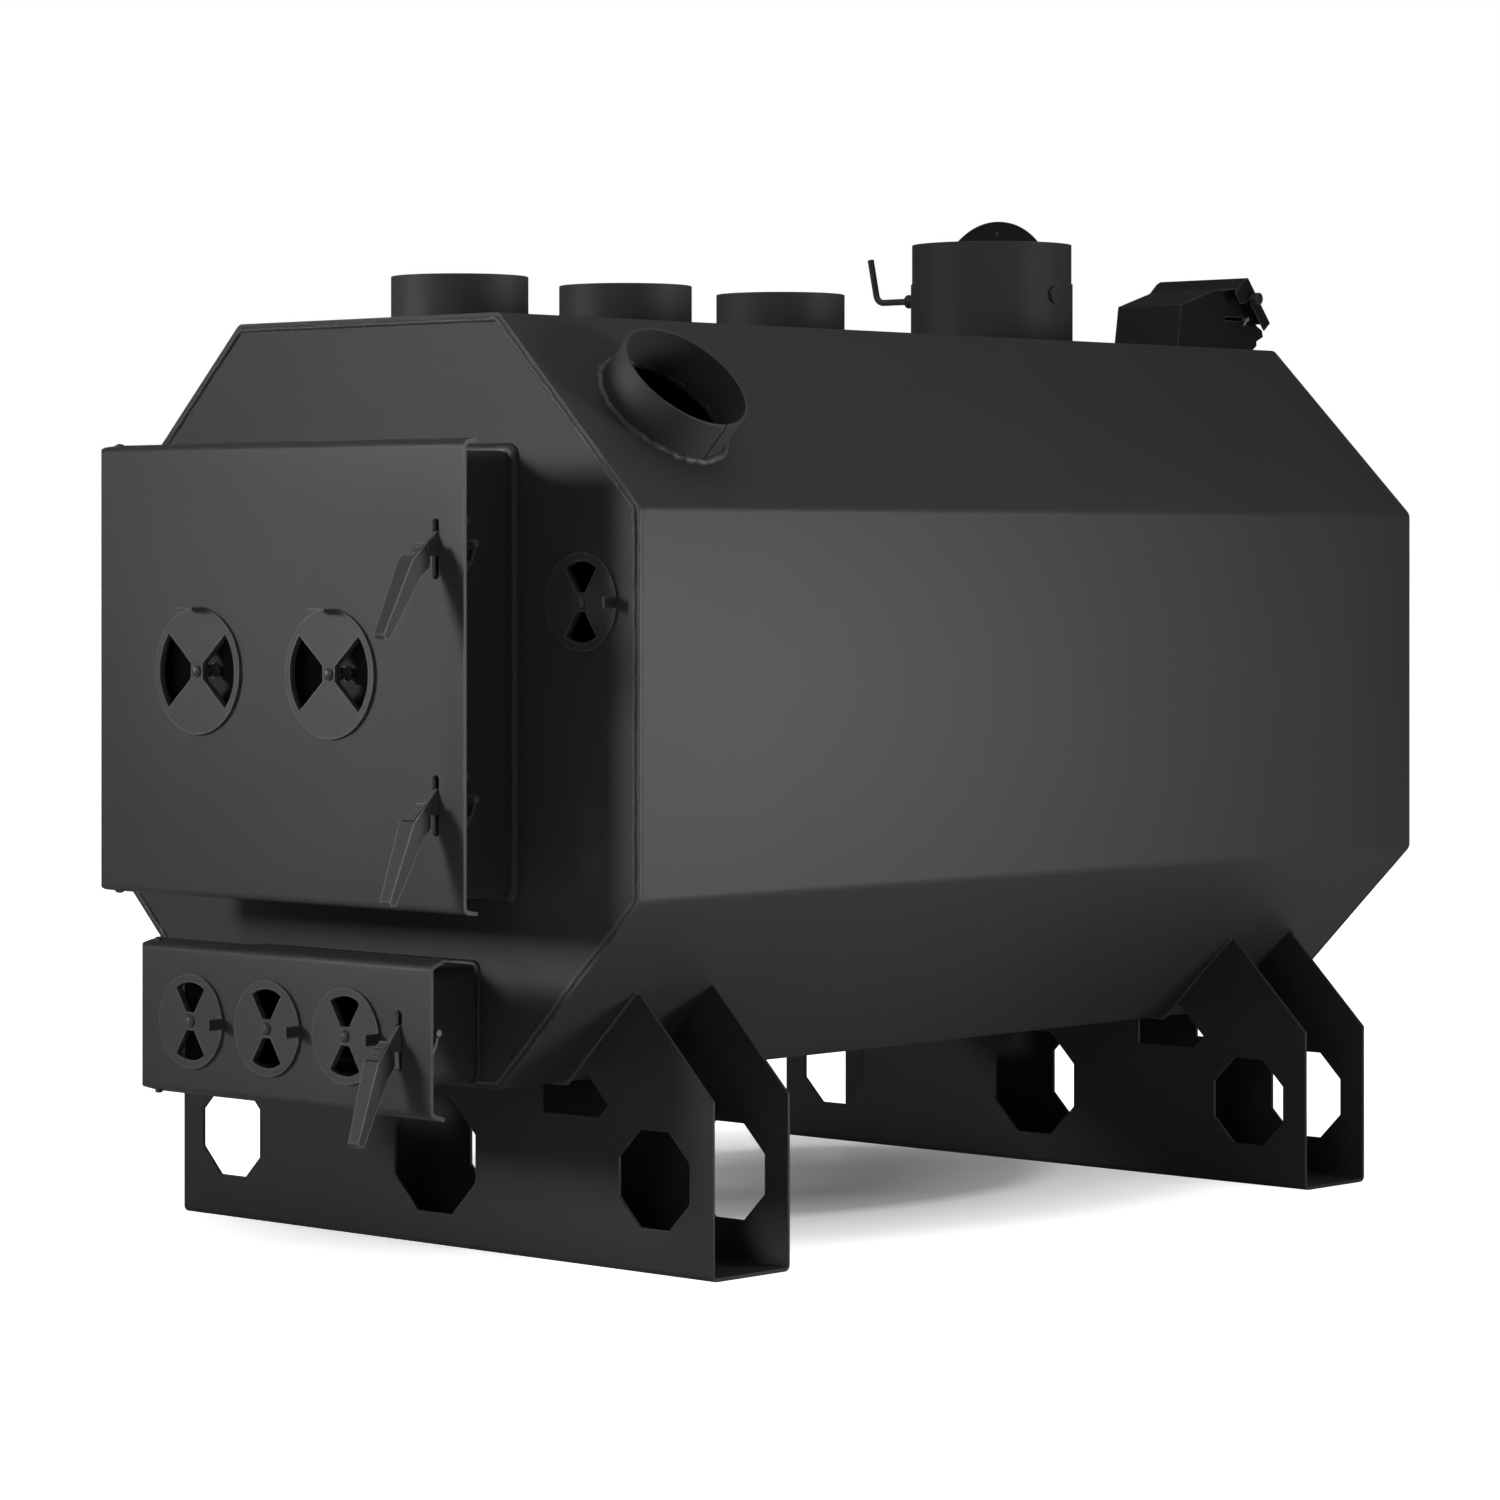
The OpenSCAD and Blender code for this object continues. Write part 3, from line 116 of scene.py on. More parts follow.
class Sheet:
    """The node sheet of one finish, of the floor, or of the studio round them."""

    def __init__(self, tree):
        self.tree = tree
        tree.nodes.clear()

    def node(self, kind, settings=None, values=None, output=0):
        """Adds a node: first its settings, then a value or a link for each socket."""
        made = self.tree.nodes.new(kind)
        for name, value in (settings or {}).items():
            if name == "stops":
                stops = made.color_ramp.elements
                for number, (at, level) in enumerate(value):
                    stop = stops[number] if number < 2 else stops.new(at)
                    stop.position = at
                    stop.color = grey(level)
            else:
                setattr(made, name, value)
        for name, value in (values or {}).items():
            if isinstance(value, Wire):
                self.tree.links.new(value.socket, made.inputs[name])
            else:
                made.inputs[name].default_value = value
        return Wire(self, made.outputs[output]) if made.outputs else None

    def place(self, stretch=(1, 1, 1)):
        coordinates = self.node("ShaderNodeTexCoord", output="Object")
        if stretch == (1, 1, 1):
            return coordinates
        return self.node("ShaderNodeMapping", values={"Vector": coordinates, "Scale": stretch})

    def noise(self, scale, detail=2, rough=0.5, stretch=(1, 1, 1)):
        return self.node("ShaderNodeTexNoise", values={"Vector": self.place(stretch),
            "Scale": scale, "Detail": detail, "Roughness": rough}, output="Fac")

    def ramp(self, value, *stops):
        return self.node("ShaderNodeValToRGB", {"stops": stops}, {"Fac": value})

    def mix(self, share, first, second):
        return self.node("ShaderNodeMix", {"data_type": "RGBA"}, {COLOUR_MIX["share"]: share,
            COLOUR_MIX["first"]: first, COLOUR_MIX["second"]: second}, COLOUR_MIX["result"])

    def edge_wear_and_sheen(self, radius, gain):
        """1 along outer and inner edges, 0 on open faces."""
        eased_normal = self.node("ShaderNodeBevel", {"samples": 4}, {"Radius": radius}, "Normal")
        flat_normal = self.node("ShaderNodeNewGeometry", output="Normal")
        same = self.node("ShaderNodeVectorMath", {"operation": "DOT_PRODUCT"},
            {0: eased_normal, 1: flat_normal}, "Value")
        return self.node("ShaderNodeMath", {"operation": "MULTIPLY", "use_clamp": True},
            {0: 1 - same, 1: gain})

    def bump(self, height, distance):
        return self.node("ShaderNodeBump", values={"Height": height, "Distance": distance})

    def seen(self):
        """1 where the camera looks at it, straight or through something clear, else 0."""
        return self.node("ShaderNodeLightPath", output="Is Camera Ray") \
            + self.node("ShaderNodeLightPath", output="Is Transmission Ray")

    def surface(self, **values):
        named = {name.replace("_", " "): value for name, value in values.items()}
        shader = self.node("ShaderNodeBsdfPrincipled", values=named, output="BSDF")
        self.node("ShaderNodeOutputMaterial", values={"Surface": shader})


def finish_sheet(name):
    material = bpy.data.materials.new(name)
    material.use_nodes = True
    return material, Sheet(material.node_tree)


# -------------------------------------------------------------------- finishes

def heat_paint(name, level, roughness=0.5, specular=0.3, edge=0.35, wear_and_sheen_lift=3.2):
    """Matt heat-resistant paint: fine grain, faint cloudiness, and edges painted lighter, as
    wear and as painted highlights.

    edge is how much of the lighter edge shows, and the last argument how many times lighter it
    is."""
    material, sheet = finish_sheet(name)
    cloud = sheet.noise(2.3, detail=4, rough=0.55)
    streak = sheet.noise(5.0, detail=3, rough=0.6, stretch=(1, 1, 0.12))
    speck = sheet.noise(420)
    # Lighter edges: partly wear, partly a painted highlight where bevels would catch the lamps.
    wear_and_sheen = sheet.edge_wear_and_sheen(radius=0.0035, gain=3) \
        * sheet.ramp(sheet.noise(60, detail=3), (0.3, 0.35), (0.7, 1))
    tone = cloud * 0.5 + streak * 0.35 + speck * 0.15
    colour = sheet.mix(tone, grey(level * 0.72), grey(level * 1.28))
    colour = sheet.mix(wear_and_sheen * edge, colour, grey(level * wear_and_sheen_lift, 0.015))
    sheet.surface(Base_Color=colour,
        Roughness=roughness - 0.06 + cloud * 0.08 + speck * 0.06 - wear_and_sheen * 0.1,
        Specular_IOR_Level=specular,
        Normal=sheet.bump(speck * 0.6 + sheet.noise(1400) * 0.4, distance=0.00012))
    return material


def weld_paint(name, level):
    """The same paint over a weld: shinier, with a coarser grain."""
    material, sheet = finish_sheet(name)
    ripple = sheet.noise(260, detail=3, rough=0.6)
    colour = sheet.mix(ripple, grey(level * 0.7), grey(level * 1.5))
    sheet.surface(Base_Color=colour, Roughness=0.36 + ripple * 0.2, Specular_IOR_Level=0.4,
        Normal=sheet.bump(ripple, distance=0.0006))
    return material


def sooted_steel(name, level):
    """Bare plate inside the fire chamber, with soot in uneven clouds."""
    material, sheet = finish_sheet(name)
    soot = sheet.noise(6, detail=6, rough=0.65)
    grain = sheet.noise(300, detail=3)
    patches = sheet.ramp(soot, (0.35, 0), (0.7, 1))
    colour = sheet.mix(patches, grey(level * 0.5), grey(level * 1.4, 0.05))
    sheet.surface(Base_Color=colour, Roughness=0.62 + soot * 0.25, Specular_IOR_Level=0.25,
        Metallic=0.15 * soot, Normal=sheet.bump(soot * 0.5 + grain * 0.5, distance=0.0006))
    return material


def cast_iron(name, level):
    """The grate: iron with the grain of the sand that it was cast in."""
    material, sheet = finish_sheet(name)
    sand = sheet.noise(180, detail=5, rough=0.7)
    lump = sheet.noise(14, detail=3)
    colour = sheet.mix(sand * 0.6 + lump * 0.4, grey(level * 0.5), grey(level * 1.5, 0.04))
    sheet.surface(Base_Color=colour, Roughness=0.6 + sand * 0.25, Metallic=0.25,
        Normal=sheet.bump(sand * 0.8 + lump * 0.2, distance=0.0012))
    return material


def zinc_plate(name, level, roughness, spangle=90, metal=0.9):
    """Zinc, with spangles that are smaller where the part is small."""
    material, sheet = finish_sheet(name)
    flake = sheet.node("ShaderNodeTexVoronoi", {"feature": "F1"},
        {"Vector": sheet.place(), "Scale": spangle}, "Distance")
    smear = sheet.noise(35, detail=4)
    tone = flake * 0.6 + smear * 0.4
    colour = sheet.mix(tone, grey(level * 0.72, -0.01), grey(level * 1.12, -0.01))
    sheet.surface(Base_Color=colour, Metallic=metal, Roughness=roughness - 0.08 + smear * 0.2,
        Normal=sheet.bump(smear, distance=0.0002))
    return material


def moulded_grip(name, level):
    """Semi-gloss black of the latch grips, with edges painted much lighter: wear where a hand
    takes them, and a painted highlight along the bevels.
    """
    material, sheet = finish_sheet(name)
    speck = sheet.noise(700)
    cloud = sheet.noise(30, detail=3)
    # Painted highlight along the edges, mixed with wear.
    wear_and_sheen = sheet.edge_wear_and_sheen(radius=0.003, gain=4)
    colour = sheet.mix(cloud * 0.6 + speck * 0.4, grey(level * 0.75), grey(level * 1.3))
    colour = sheet.mix(wear_and_sheen * 0.8, colour, grey(level * 7))
    sheet.surface(Base_Color=colour, Roughness=0.42 + cloud * 0.12 + speck * 0.05,
        Specular_IOR_Level=0.16, Normal=sheet.bump(speck, distance=0.00012))
    return material


def glass_rope(name):
    """Braided glass yarn, greyed by soot."""
    material, sheet = finish_sheet(name)
    yarn = sheet.node("ShaderNodeTexWave",
        {"wave_type": "BANDS", "bands_direction": "DIAGONAL"},
        {"Vector": sheet.place(), "Scale": 160, "Distortion": 3.0, "Detail": 2}, "Fac")
    soot = sheet.noise(18, detail=4)
    dirty = (0.34, 0.32, 0.29, 1)
    clean = (0.78, 0.76, 0.7, 1)
    colour = sheet.mix(yarn * 0.5 + soot * 0.5, dirty, clean)
    sheet.surface(Base_Color=colour, Roughness=0.86 + yarn * 0.1, Specular_IOR_Level=0.2,
        Normal=sheet.bump(yarn, distance=0.0008))
    return material


def moulded_black(name, level):
    """The cable gland's plastic."""
    material, sheet = finish_sheet(name)
    speck = sheet.noise(500, detail=3)
    colour = sheet.mix(speck, grey(level * 0.7), grey(level * 1.4))
    sheet.surface(Base_Color=colour, Roughness=0.45 + speck * 0.15,
        Normal=sheet.bump(speck, distance=0.0002))
    return material


finishes = {
    "stove_paint": heat_paint("stove_paint_finish", 0.046),
    # Legs: a darker copy of the body's paint, painted shade for their place low and set back
    # under the body.
    "leg_paint": heat_paint("leg_paint_finish", 0.037, roughness=0.52, specular=0.25),
    "door_paint": heat_paint("door_paint_finish", 0.046, roughness=0.48),
    # Rosettes: rims painted five times lighter, mostly a painted highlight where their edges
    # catch the light, partly wear.
    "rosette_paint": heat_paint("rosette_paint_finish", 0.05,
        roughness=0.46, specular=0.35, edge=0.8, wear_and_sheen_lift=5),
    "chamber_steel": sooted_steel("chamber_steel_finish", 0.03),
    "grate_iron": cast_iron("grate_iron_finish", 0.05),
    "pan_zinc": zinc_plate("pan_zinc_finish", 0.42, roughness=0.42),
    "sealing_rope": glass_rope("sealing_rope_finish"),
    "grip_black": moulded_grip("grip_black_finish", 0.042),
    # Levers and latch cam: about twice as light as the body's paint, painted light that lifts
    # the cam out of the door's shadow.
    "lever_black": heat_paint("lever_black_finish", 0.085,
        roughness=0.42, specular=0.5, edge=0.6),
    # Bolts, springs and nuts: edges painted six times lighter, partly wear, partly a painted
    # highlight.
    "hardware_black": heat_paint("hardware_black_finish", 0.05,
        roughness=0.38, specular=0.45, edge=0.9, wear_and_sheen_lift=6),
    "damper_black": heat_paint("damper_black_finish", 0.05,
        roughness=0.45, specular=0.35, edge=0.6),
    "zinc": zinc_plate("zinc_finish", 0.9, roughness=0.3, spangle=400, metal=0.15),
    "motor_grey": heat_paint("motor_grey_finish", 0.12, roughness=0.4),
    "fan_zinc": zinc_plate("fan_zinc_finish", 0.5, roughness=0.35),
    "gland_black": moulded_black("gland_black_finish", 0.022),
}
# One weld paint at three lightnesses: lighter than the body's paint on the end and collar beads,
# as painted highlight, and darker on the loading neck's bead and darkest on the ash neck's, as
# painted shade round the doors.
weld_finish = weld_paint("weld_finish", 0.062)
neck_weld_shaded_finish = weld_paint("neck_weld_shaded_finish", 0.034)
ash_weld_shadowed_finish = weld_paint("ash_weld_shadowed_finish", 0.018)
# Flue and outlet collars: a lighter copy of the body's paint, painted light that brightens them.
collar_lit_finish = heat_paint("collar_paint_finish", 0.055, roughness=0.56, specular=0.28)
# Hood and intake cover: darker than the body's paint, with their folds painted twelve times
# lighter as painted highlights.
blower_finish = heat_paint("blower_paint_finish", 0.017,
    roughness=0.6, specular=0.3, edge=1, wear_and_sheen_lift=12)
disc_finish = heat_paint("damper_disc_finish", 0.011, roughness=0.6, specular=0.2)
pin_finish = zinc_plate("keeper_pin_finish", 0.15, roughness=0.45, spangle=300, metal=0.3)

record = frame["record"]
slot_of = {part["node"]: part["material_slot"] for part in record["subparts"]}
body_of = {node: body for body, nodes in record["behaviour"]["bodies"].items()
    for node in nodes}
pivot_of = {joint["child"]: Vector(joint["pos_m"]) for joint in record["behaviour"]["joints"]
    if "pos_m" in joint}


def give_finish(piece, finish):
    piece.data.materials.clear()
    piece.data.materials.append(finish)


# ---------------------------------------------------------------- shared tools

def only(piece):
    """Deselects everything else and makes the piece active."""
    bpy.ops.object.select_all(action="DESELECT")
    piece.select_set(True)
    bpy.context.view_layer.objects.active = piece


def edit(piece, kind="FACE"):
    only(piece)
    bpy.ops.object.mode_set(mode="EDIT")
    bpy.ops.mesh.select_mode(type=kind)


def done():
    bpy.ops.object.mode_set(mode="OBJECT")


def choose(piece, wanted):
    """In edit mode, selects the faces for which wanted is true."""
    bpy.ops.mesh.select_mode(type="FACE")
    bpy.ops.mesh.select_all(action="DESELECT")
    done()
    for face in piece.data.polygons:
        face.select = bool(wanted(face))
    bpy.ops.object.mode_set(mode="EDIT")


def rest(piece):
    """Applies the piece's place, turn and size to its mesh."""
    only(piece)
    bpy.ops.object.transform_apply(location=True, rotation=True, scale=True)


def modify(piece, kind, **settings):
    only(piece)
    modifier = piece.modifiers.new(kind.title(), kind)
    for name, value in settings.items():
        setattr(modifier, name, value)
    bpy.ops.object.modifier_apply(modifier=modifier.name)


def bevelled(piece, width, segments=2, limit=30):
    """Rounds the edges that turn by more than the limit, in degrees."""
    only(piece)
    bpy.ops.object.shade_smooth_by_angle(angle=math.radians(limit))
    modify(piece, "BEVEL", width=width, segments=segments, limit_method="ANGLE",
        angle_limit=math.radians(limit), use_clamp_overlap=True, harden_normals=True)


def eased(node, width, segments=2, limit=30, finish=None):
    """A copy of a CAD node with its sharp edges rounded, which stands for it."""
    piece = frame["nodes"][node].copy()
    piece.data = piece.data.copy()
    piece.name = node + "_finished"
    bpy.context.scene.collection.objects.link(piece)
    piece.parent = None
    piece.matrix_world = Matrix.Identity(4)
    edit(piece)
    bpy.ops.mesh.customdata_custom_splitnormals_clear()
    bpy.ops.mesh.select_all(action="SELECT")
    bpy.ops.mesh.remove_doubles(threshold=0.00001)
    bpy.ops.mesh.dissolve_limited(angle_limit=math.radians(0.5))
    done()
    bevelled(piece, width, segments, limit)
    give_finish(piece, finish or finishes[slot_of[node]])
    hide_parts(node)
    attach(piece, body_of[node])
    return piece


def finished(piece, name, slot, body, finish=None, smooth=30):
    """Names a new piece, gives it a finish and lets it move with a body."""
    piece.name = name
    only(piece)
    bpy.ops.object.shade_smooth_by_angle(angle=math.radians(smooth))
    give_finish(piece, finish or finishes[slot])
    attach(piece, body)


def copied(piece, place, lean=0.0, spin=0.0):
    """A copy with its own mesh, leant about X, spun about Z and moved."""
    twin = piece.copy()
    twin.data = piece.data.copy()
    bpy.context.scene.collection.objects.link(twin)
    twin.rotation_euler = (math.radians(lean), 0, math.radians(spin))
    twin.location = place
    rest(twin)
    return twin


def block(low, high):
    middle = [(a + b) / 2 for a, b in zip(low, high)]
    bpy.ops.mesh.primitive_cube_add(size=1, location=middle)
    piece = bpy.context.active_object
    piece.scale = [b - a for a, b in zip(low, high)]
    rest(piece)
    return piece


def round_bar(radius, length, centre, turn, sides):
    bpy.ops.mesh.primitive_cylinder_add(vertices=sides, radius=radius, depth=length,
        location=centre, rotation=turn)
    piece = bpy.context.active_object
    rest(piece)
    return piece


def joined(pieces):
    only(pieces[0])
    for piece in pieces:
        piece.select_set(True)
    bpy.ops.object.join()
    return bpy.context.active_object


def cut_out(piece, tool):
    modify(piece, "BOOLEAN", operation="DIFFERENCE", object=tool, solver="EXACT")
    bpy.data.objects.remove(tool)


# ---------------------------------------------------------------- welds and ropes

def chain(points, cuts):
    """Edges drawn through the points by extruding one point again and again."""
    longest = 0.1                         # of one extruded edge, before it is divided
    bpy.ops.mesh.primitive_plane_add(size=0.001, location=points[0])
    piece = bpy.context.active_object
    rest(piece)
    edit(piece, "VERT")
    bpy.ops.mesh.select_all(action="SELECT")
    bpy.ops.mesh.merge(type="CENTER")
    for before, after in zip(points, points[1:]):
        way = Vector(after) - Vector(before)
        steps = max(1, math.ceil(way.length / longest))
        for _ in range(steps):
            bpy.ops.mesh.extrude_region_move(TRANSFORM_OT_translate={"value": way / steps})
    bpy.ops.mesh.select_all(action="SELECT")
    bpy.ops.mesh.remove_doubles(threshold=0.0001)
    bpy.ops.mesh.select_all(action="SELECT")
    bpy.ops.mesh.subdivide(number_cuts=cuts)
    done()
    return piece


def hoop(radius, centre, turn=(0, 0, 0), points=128):
    bpy.ops.mesh.primitive_circle_add(vertices=points, radius=radius, location=centre,
        rotation=turn)
    piece = bpy.context.active_object
    rest(piece)
    return piece


def tubed(line, radius, lump, grain):
    """Turns a line of edges into a round bar, uneven by lump over spans of grain."""
    only(line)
    bpy.ops.object.convert(target="CURVE")
    line = bpy.context.active_object
    line.data.bevel_depth = radius
    line.data.bevel_resolution = 2
    line.data.use_fill_caps = True
    bpy.ops.object.convert(target="MESH")
    piece = bpy.context.active_object
    lumps = bpy.data.textures.new("lumps", "CLOUDS")
    lumps.noise_scale = grain
    modify(piece, "DISPLACE", texture=lumps, strength=lump, mid_level=0.5,
        texture_coords="LOCAL")
    return piece


def weld(name, line, radius, lump, grain, finish=weld_finish):
    bead = tubed(line, radius, lump, grain)
    finished(bead, name, "stove_paint", "stove", finish, SOFT_ANGLE)


def lay_beads(bead, places, slot="stove_paint"):
    """A copy of one bead at each named place, and the first one is taken away."""
    for name, place, spin in places:
        finished(copied(bead, place, spin=spin), name, slot, "stove", weld_finish, SOFT_ANGLE)
    bpy.data.objects.remove(bead)


def octagon(half, low, high, corner):
    """An upright eight-sided outline across Y, closed by its first point."""
    turn = [(half, low + corner), (half, high - corner),
        (half - corner, high), (corner - half, high),
        (-half, high - corner), (-half, low + corner),
        (corner - half, low), (half - corner, low)]
    return [(x, 0, z) for x, z in turn + turn[:1]]


def neck_line(neck, out, radius, y):
    """An outline round a neck, out from its outer faces, with rounded corners."""
    half, low, high = neck[0] + out, neck[1] - out, neck[2] + out
    points = []
    for x, z, start in ((half - radius, high - radius, 0), (radius - half, high - radius, 90),
            (radius - half, low + radius, 180), (half - radius, low + radius, 270)):
        for step in range(5):
            angle = math.radians(start + step * 22.5)
            points.append((x + radius * math.cos(angle), y, z + radius * math.sin(angle)))
    return points + points[:1]


def weld_body():
    """Beads round both end plates, and where the two necks meet the front plate."""
    inset = 0.007                         # from the body's outside to the beads' line
    sunk = 0.0006
    line = chain(octagon(0.401, BOTTOM + inset, TOP - inset, corner=0.2), cuts=24)
    lay_beads(tubed(line, radius=0.0028, lump=0.0036, grain=0.007), (
        ("front_end_weld", (0, FRONT + sunk, 0), 0),
        ("rear_end_weld", (0, REAR - sunk, 0), 0)))
    foot = FRONT + 0.001
    # The neck beads take darker copies of the weld paint: painted shade round the doors.
    weld("loading_neck_weld",
        chain(neck_line(LOADING_NECK, out=SKIN, radius=0.006, y=foot), cuts=12),
        radius=0.0085, lump=0.0022, grain=0.009, finish=neck_weld_shaded_finish)
    weld("ash_neck_weld",
        chain(neck_line(ASH_NECK, out=SKIN, radius=0.006, y=foot), cuts=12),
        radius=0.0045, lump=0.0018, grain=0.009, finish=ash_weld_shadowed_finish)


def weld_collars():
    """Beads round the feet of the warm air collars and of the flue collar."""
    ring = hoop(OUTLET_RADIUS + SKIN, (0, 0, 0))
    lay_beads(tubed(ring, radius=0.0028, lump=0.0016, grain=0.006), (
        ("top_outlet_front_weld", (0, OUTLET_Y["front"], TOP), 0),
        ("top_outlet_middle_weld", (0, OUTLET_Y["middle"], TOP), 130),
        ("top_outlet_rear_weld", (0, OUTLET_Y["rear"], TOP), 250)))
    weld("flue_weld", hoop(FLUE_RADIUS + SKIN, (0, FLUE_Y, TOP), points=160),
        radius=0.0035, lump=0.002, grain=0.006)
    x, z = SIDE_OUTLET_FOOT
    for hand, side in SIDES:
        line = hoop(OUTLET_RADIUS + 0.0015, (side * x, OUTLET_Y["front"], z),
            turn=(0, side * SLOPE, 0), points=160)
        weld(f"side_outlet_{hand}_weld", line, radius=0.005, lump=0.0056, grain=0.011)


def weld_legs():
    """Beads before and behind both legs, from under the body up its lower slopes."""
    out = 0.001                           # from the sheet to the beads' line
    under = BOTTOM - out
    fronts = (("front_leg_weld", FRONT + LEG_INSET),
        ("rear_leg_weld", REAR - LEG_INSET - LEG_DEPTH))
    for hand, side in SIDES:
        line = chain([(side * 0.12, 0, under), (side * 0.204, 0, under),
            (side * 0.306, 0, 0.293)], cuts=16)
        places = []
        for name, y in fronts:
            places.append((f"{name}_0_{hand}", (0, y - out, 0), 0))
            places.append((f"{name}_1_{hand}", (0, y + LEG_DEPTH + out, 0), 0))
        lay_beads(tubed(line, radius=0.0024, lump=0.0016, grain=0.006), places, "leg_paint")


def lay_rope(node, neck, y):
    """A braided sealing rope pressed into its channel, in place of the plain CAD one."""
    line = chain(neck_line(neck, out=-0.0042, radius=0.012, y=y), cuts=10)
    rope = tubed(line, radius=0.004, lump=0.0012, grain=0.004)
    edit(rope)
    bpy.ops.mesh.select_all(action="SELECT")
    bpy.ops.transform.resize(value=(1, 0.97, 1), center_override=(0, y, 0))
    done()
    finished(rope, node + "_rope", "sealing_rope", body_of[node], smooth=SOFT_ANGLE)
    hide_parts(node)


# ---------------------------------------------------------------- small parts

def spring_and_nut():
    """Spring, washer, nut and thread end, laid along Y behind a rosette's sheet."""
    wire, coil, coils, pitch, start = 0.0009, 0.0058, 4, 0.0036, 0.0012
    bpy.ops.mesh.primitive_circle_add(vertices=8, radius=wire, location=(coil, start, 0))
    spring = bpy.context.active_object
    rest(spring)
    modify(spring, "SCREW", axis="Y", angle=math.radians(360), screw_offset=pitch,
        iterations=coils, steps=20, render_steps=20)
    stack = [spring]
    for radius, length, middle, sides, edge in (
            (0.0085, 0.0014, 0.0176, 32, 0.0004),       # washer
            (0.0072, 0.0058, 0.0212, 6, 0.0007),        # nut
            (0.0038, 0.0245, 0.0137, 24, 0.0006)):      # thread end
        bar = round_bar(radius, length, (0, middle, 0), ALONG_Y, sides)
        bevelled(bar, edge)
        stack.append(bar)
    stack = joined(stack)
    edit(stack)
    bpy.ops.mesh.select_all(action="SELECT")
    bpy.ops.mesh.normals_make_consistent(inside=False)
    done()
    return stack


def fit_springs():
    """A stack behind each rosette, against the back of the sheet that it turns on."""
    first = spring_and_nut()
    for rosette, body, sheet in (
            ("left_door_rosette", "big_door", DOOR_SHEET),
            ("right_door_rosette", "big_door", DOOR_SHEET),
            ("left_ash_rosette", "small_door", DOOR_SHEET),
            ("middle_ash_rosette", "small_door", DOOR_SHEET),
            ("right_ash_rosette", "small_door", DOOR_SHEET),
            ("right_front_rosette", "stove", PLATE_SHEET),
            ("left_front_rosette", "stove", PLATE_SHEET)):
        stack = copied(first, pivot_of[rosette] + Vector((0, sheet, 0)))
        finished(stack, rosette.replace("rosette", "spring"), "hardware_black", body)
    bpy.data.objects.remove(first)


def ridge_grips():
    """Cross ridges on the upper face of each grip, laid out first for an unturned lever."""
    start = Vector((0, -0.0370, 0.0016))  # of the upper face, from the latch's pivot
    end = Vector((0, -0.0600, -0.0155))
    slant = math.atan2(end.z - start.z, end.y - start.y) + math.pi
    bars = []
    for number in range(8):
        share = 0.1 + number * 0.105
        half = 0.0062 + 0.0022 * share    # of its width: the grip widens towards its end
        bar = block((-half, -0.0007, -0.0006), (half, 0.0007, 0.0009))
        bevelled(bar, 0.0005)
        bar.rotation_euler = (slant, 0, 0)
        bar.location = start.lerp(end, share)
        rest(bar)
        bars.append(bar)
    ridges = joined(bars)
    for latch, lean in (("upper_latch", 0), ("lower_latch", 5), ("ash_latch", 9)):
        turned = copied(ridges, pivot_of[latch], lean=lean)
        finished(turned, latch + "_ridges", "grip_black", latch)
    bpy.data.objects.remove(ridges)


def knurl_thumb_screws():
    """One knurled knob, dished at both ends, and a copy of it for each screw."""
    middle = 0.0792                       # from the blower's centre plane
    end = 0.00005                         # in square metres: only its two ends are larger
    knob = round_bar(radius=0.0073, length=0.0076, centre=(0, 0, 0), turn=ALONG_X, sides=48)
    edit(knob)
    choose(knob, lambda face: abs(face.normal.x) < 0.5 and face.index % 2 == 0)
    bpy.ops.mesh.extrude_faces_move(TRANSFORM_OT_shrink_fatten={"value": 0.0005})
    choose(knob, lambda face: abs(face.normal.x) > 0.9 and face.area > end)
    bpy.ops.mesh.inset(thickness=0.0016)
    bpy.ops.mesh.extrude_region_move(TRANSFORM_OT_translate={"value": (0, 0, 0)})
    bpy.ops.transform.resize(value=(0.93, 1, 1), center_override=(0, 0, 0))
    done()
    bevelled(knob, 0.00025, segments=1, limit=40)
    for hand, side in SIDES:
        body = hand + "_thumb_screw"
        place = (side * middle, pivot_of[body].y, pivot_of[body].z)
        finished(copied(knob, place), hand + "_thumb_knob", "hardware_black", body)
    bpy.data.objects.remove(knob)


def slot_damper_rod():
    """The damper's rod ends in a slotted head on the right of the flue."""
    rod = eased("damper_rod", HANDLED_EDGE, segments=3)
    slot = block((0.1016, -0.0008, -0.016), (0.11, 0.0008, 0.016))     # out past its end
    slot.rotation_euler = (math.radians(75), 0, 0)
    slot.location = pivot_of["damper"]
    rest(slot)
    cut_out(rod, slot)


def rivet_disc():
    """The small rivet near the upper edge of the damper's leaning disc."""
    rivet = round_bar(radius=0.0025, length=0.0054, centre=(0, 0, 0), turn=ALONG_Y, sides=24)
    bevelled(rivet, 0.0009, segments=3)
    place = pivot_of["damper"] + Vector((0.003, 0.0082, 0.0785))
    finished(copied(rivet, place, lean=-2), "damper_rivet", "damper_black", "damper")
    bpy.data.objects.remove(rivet)


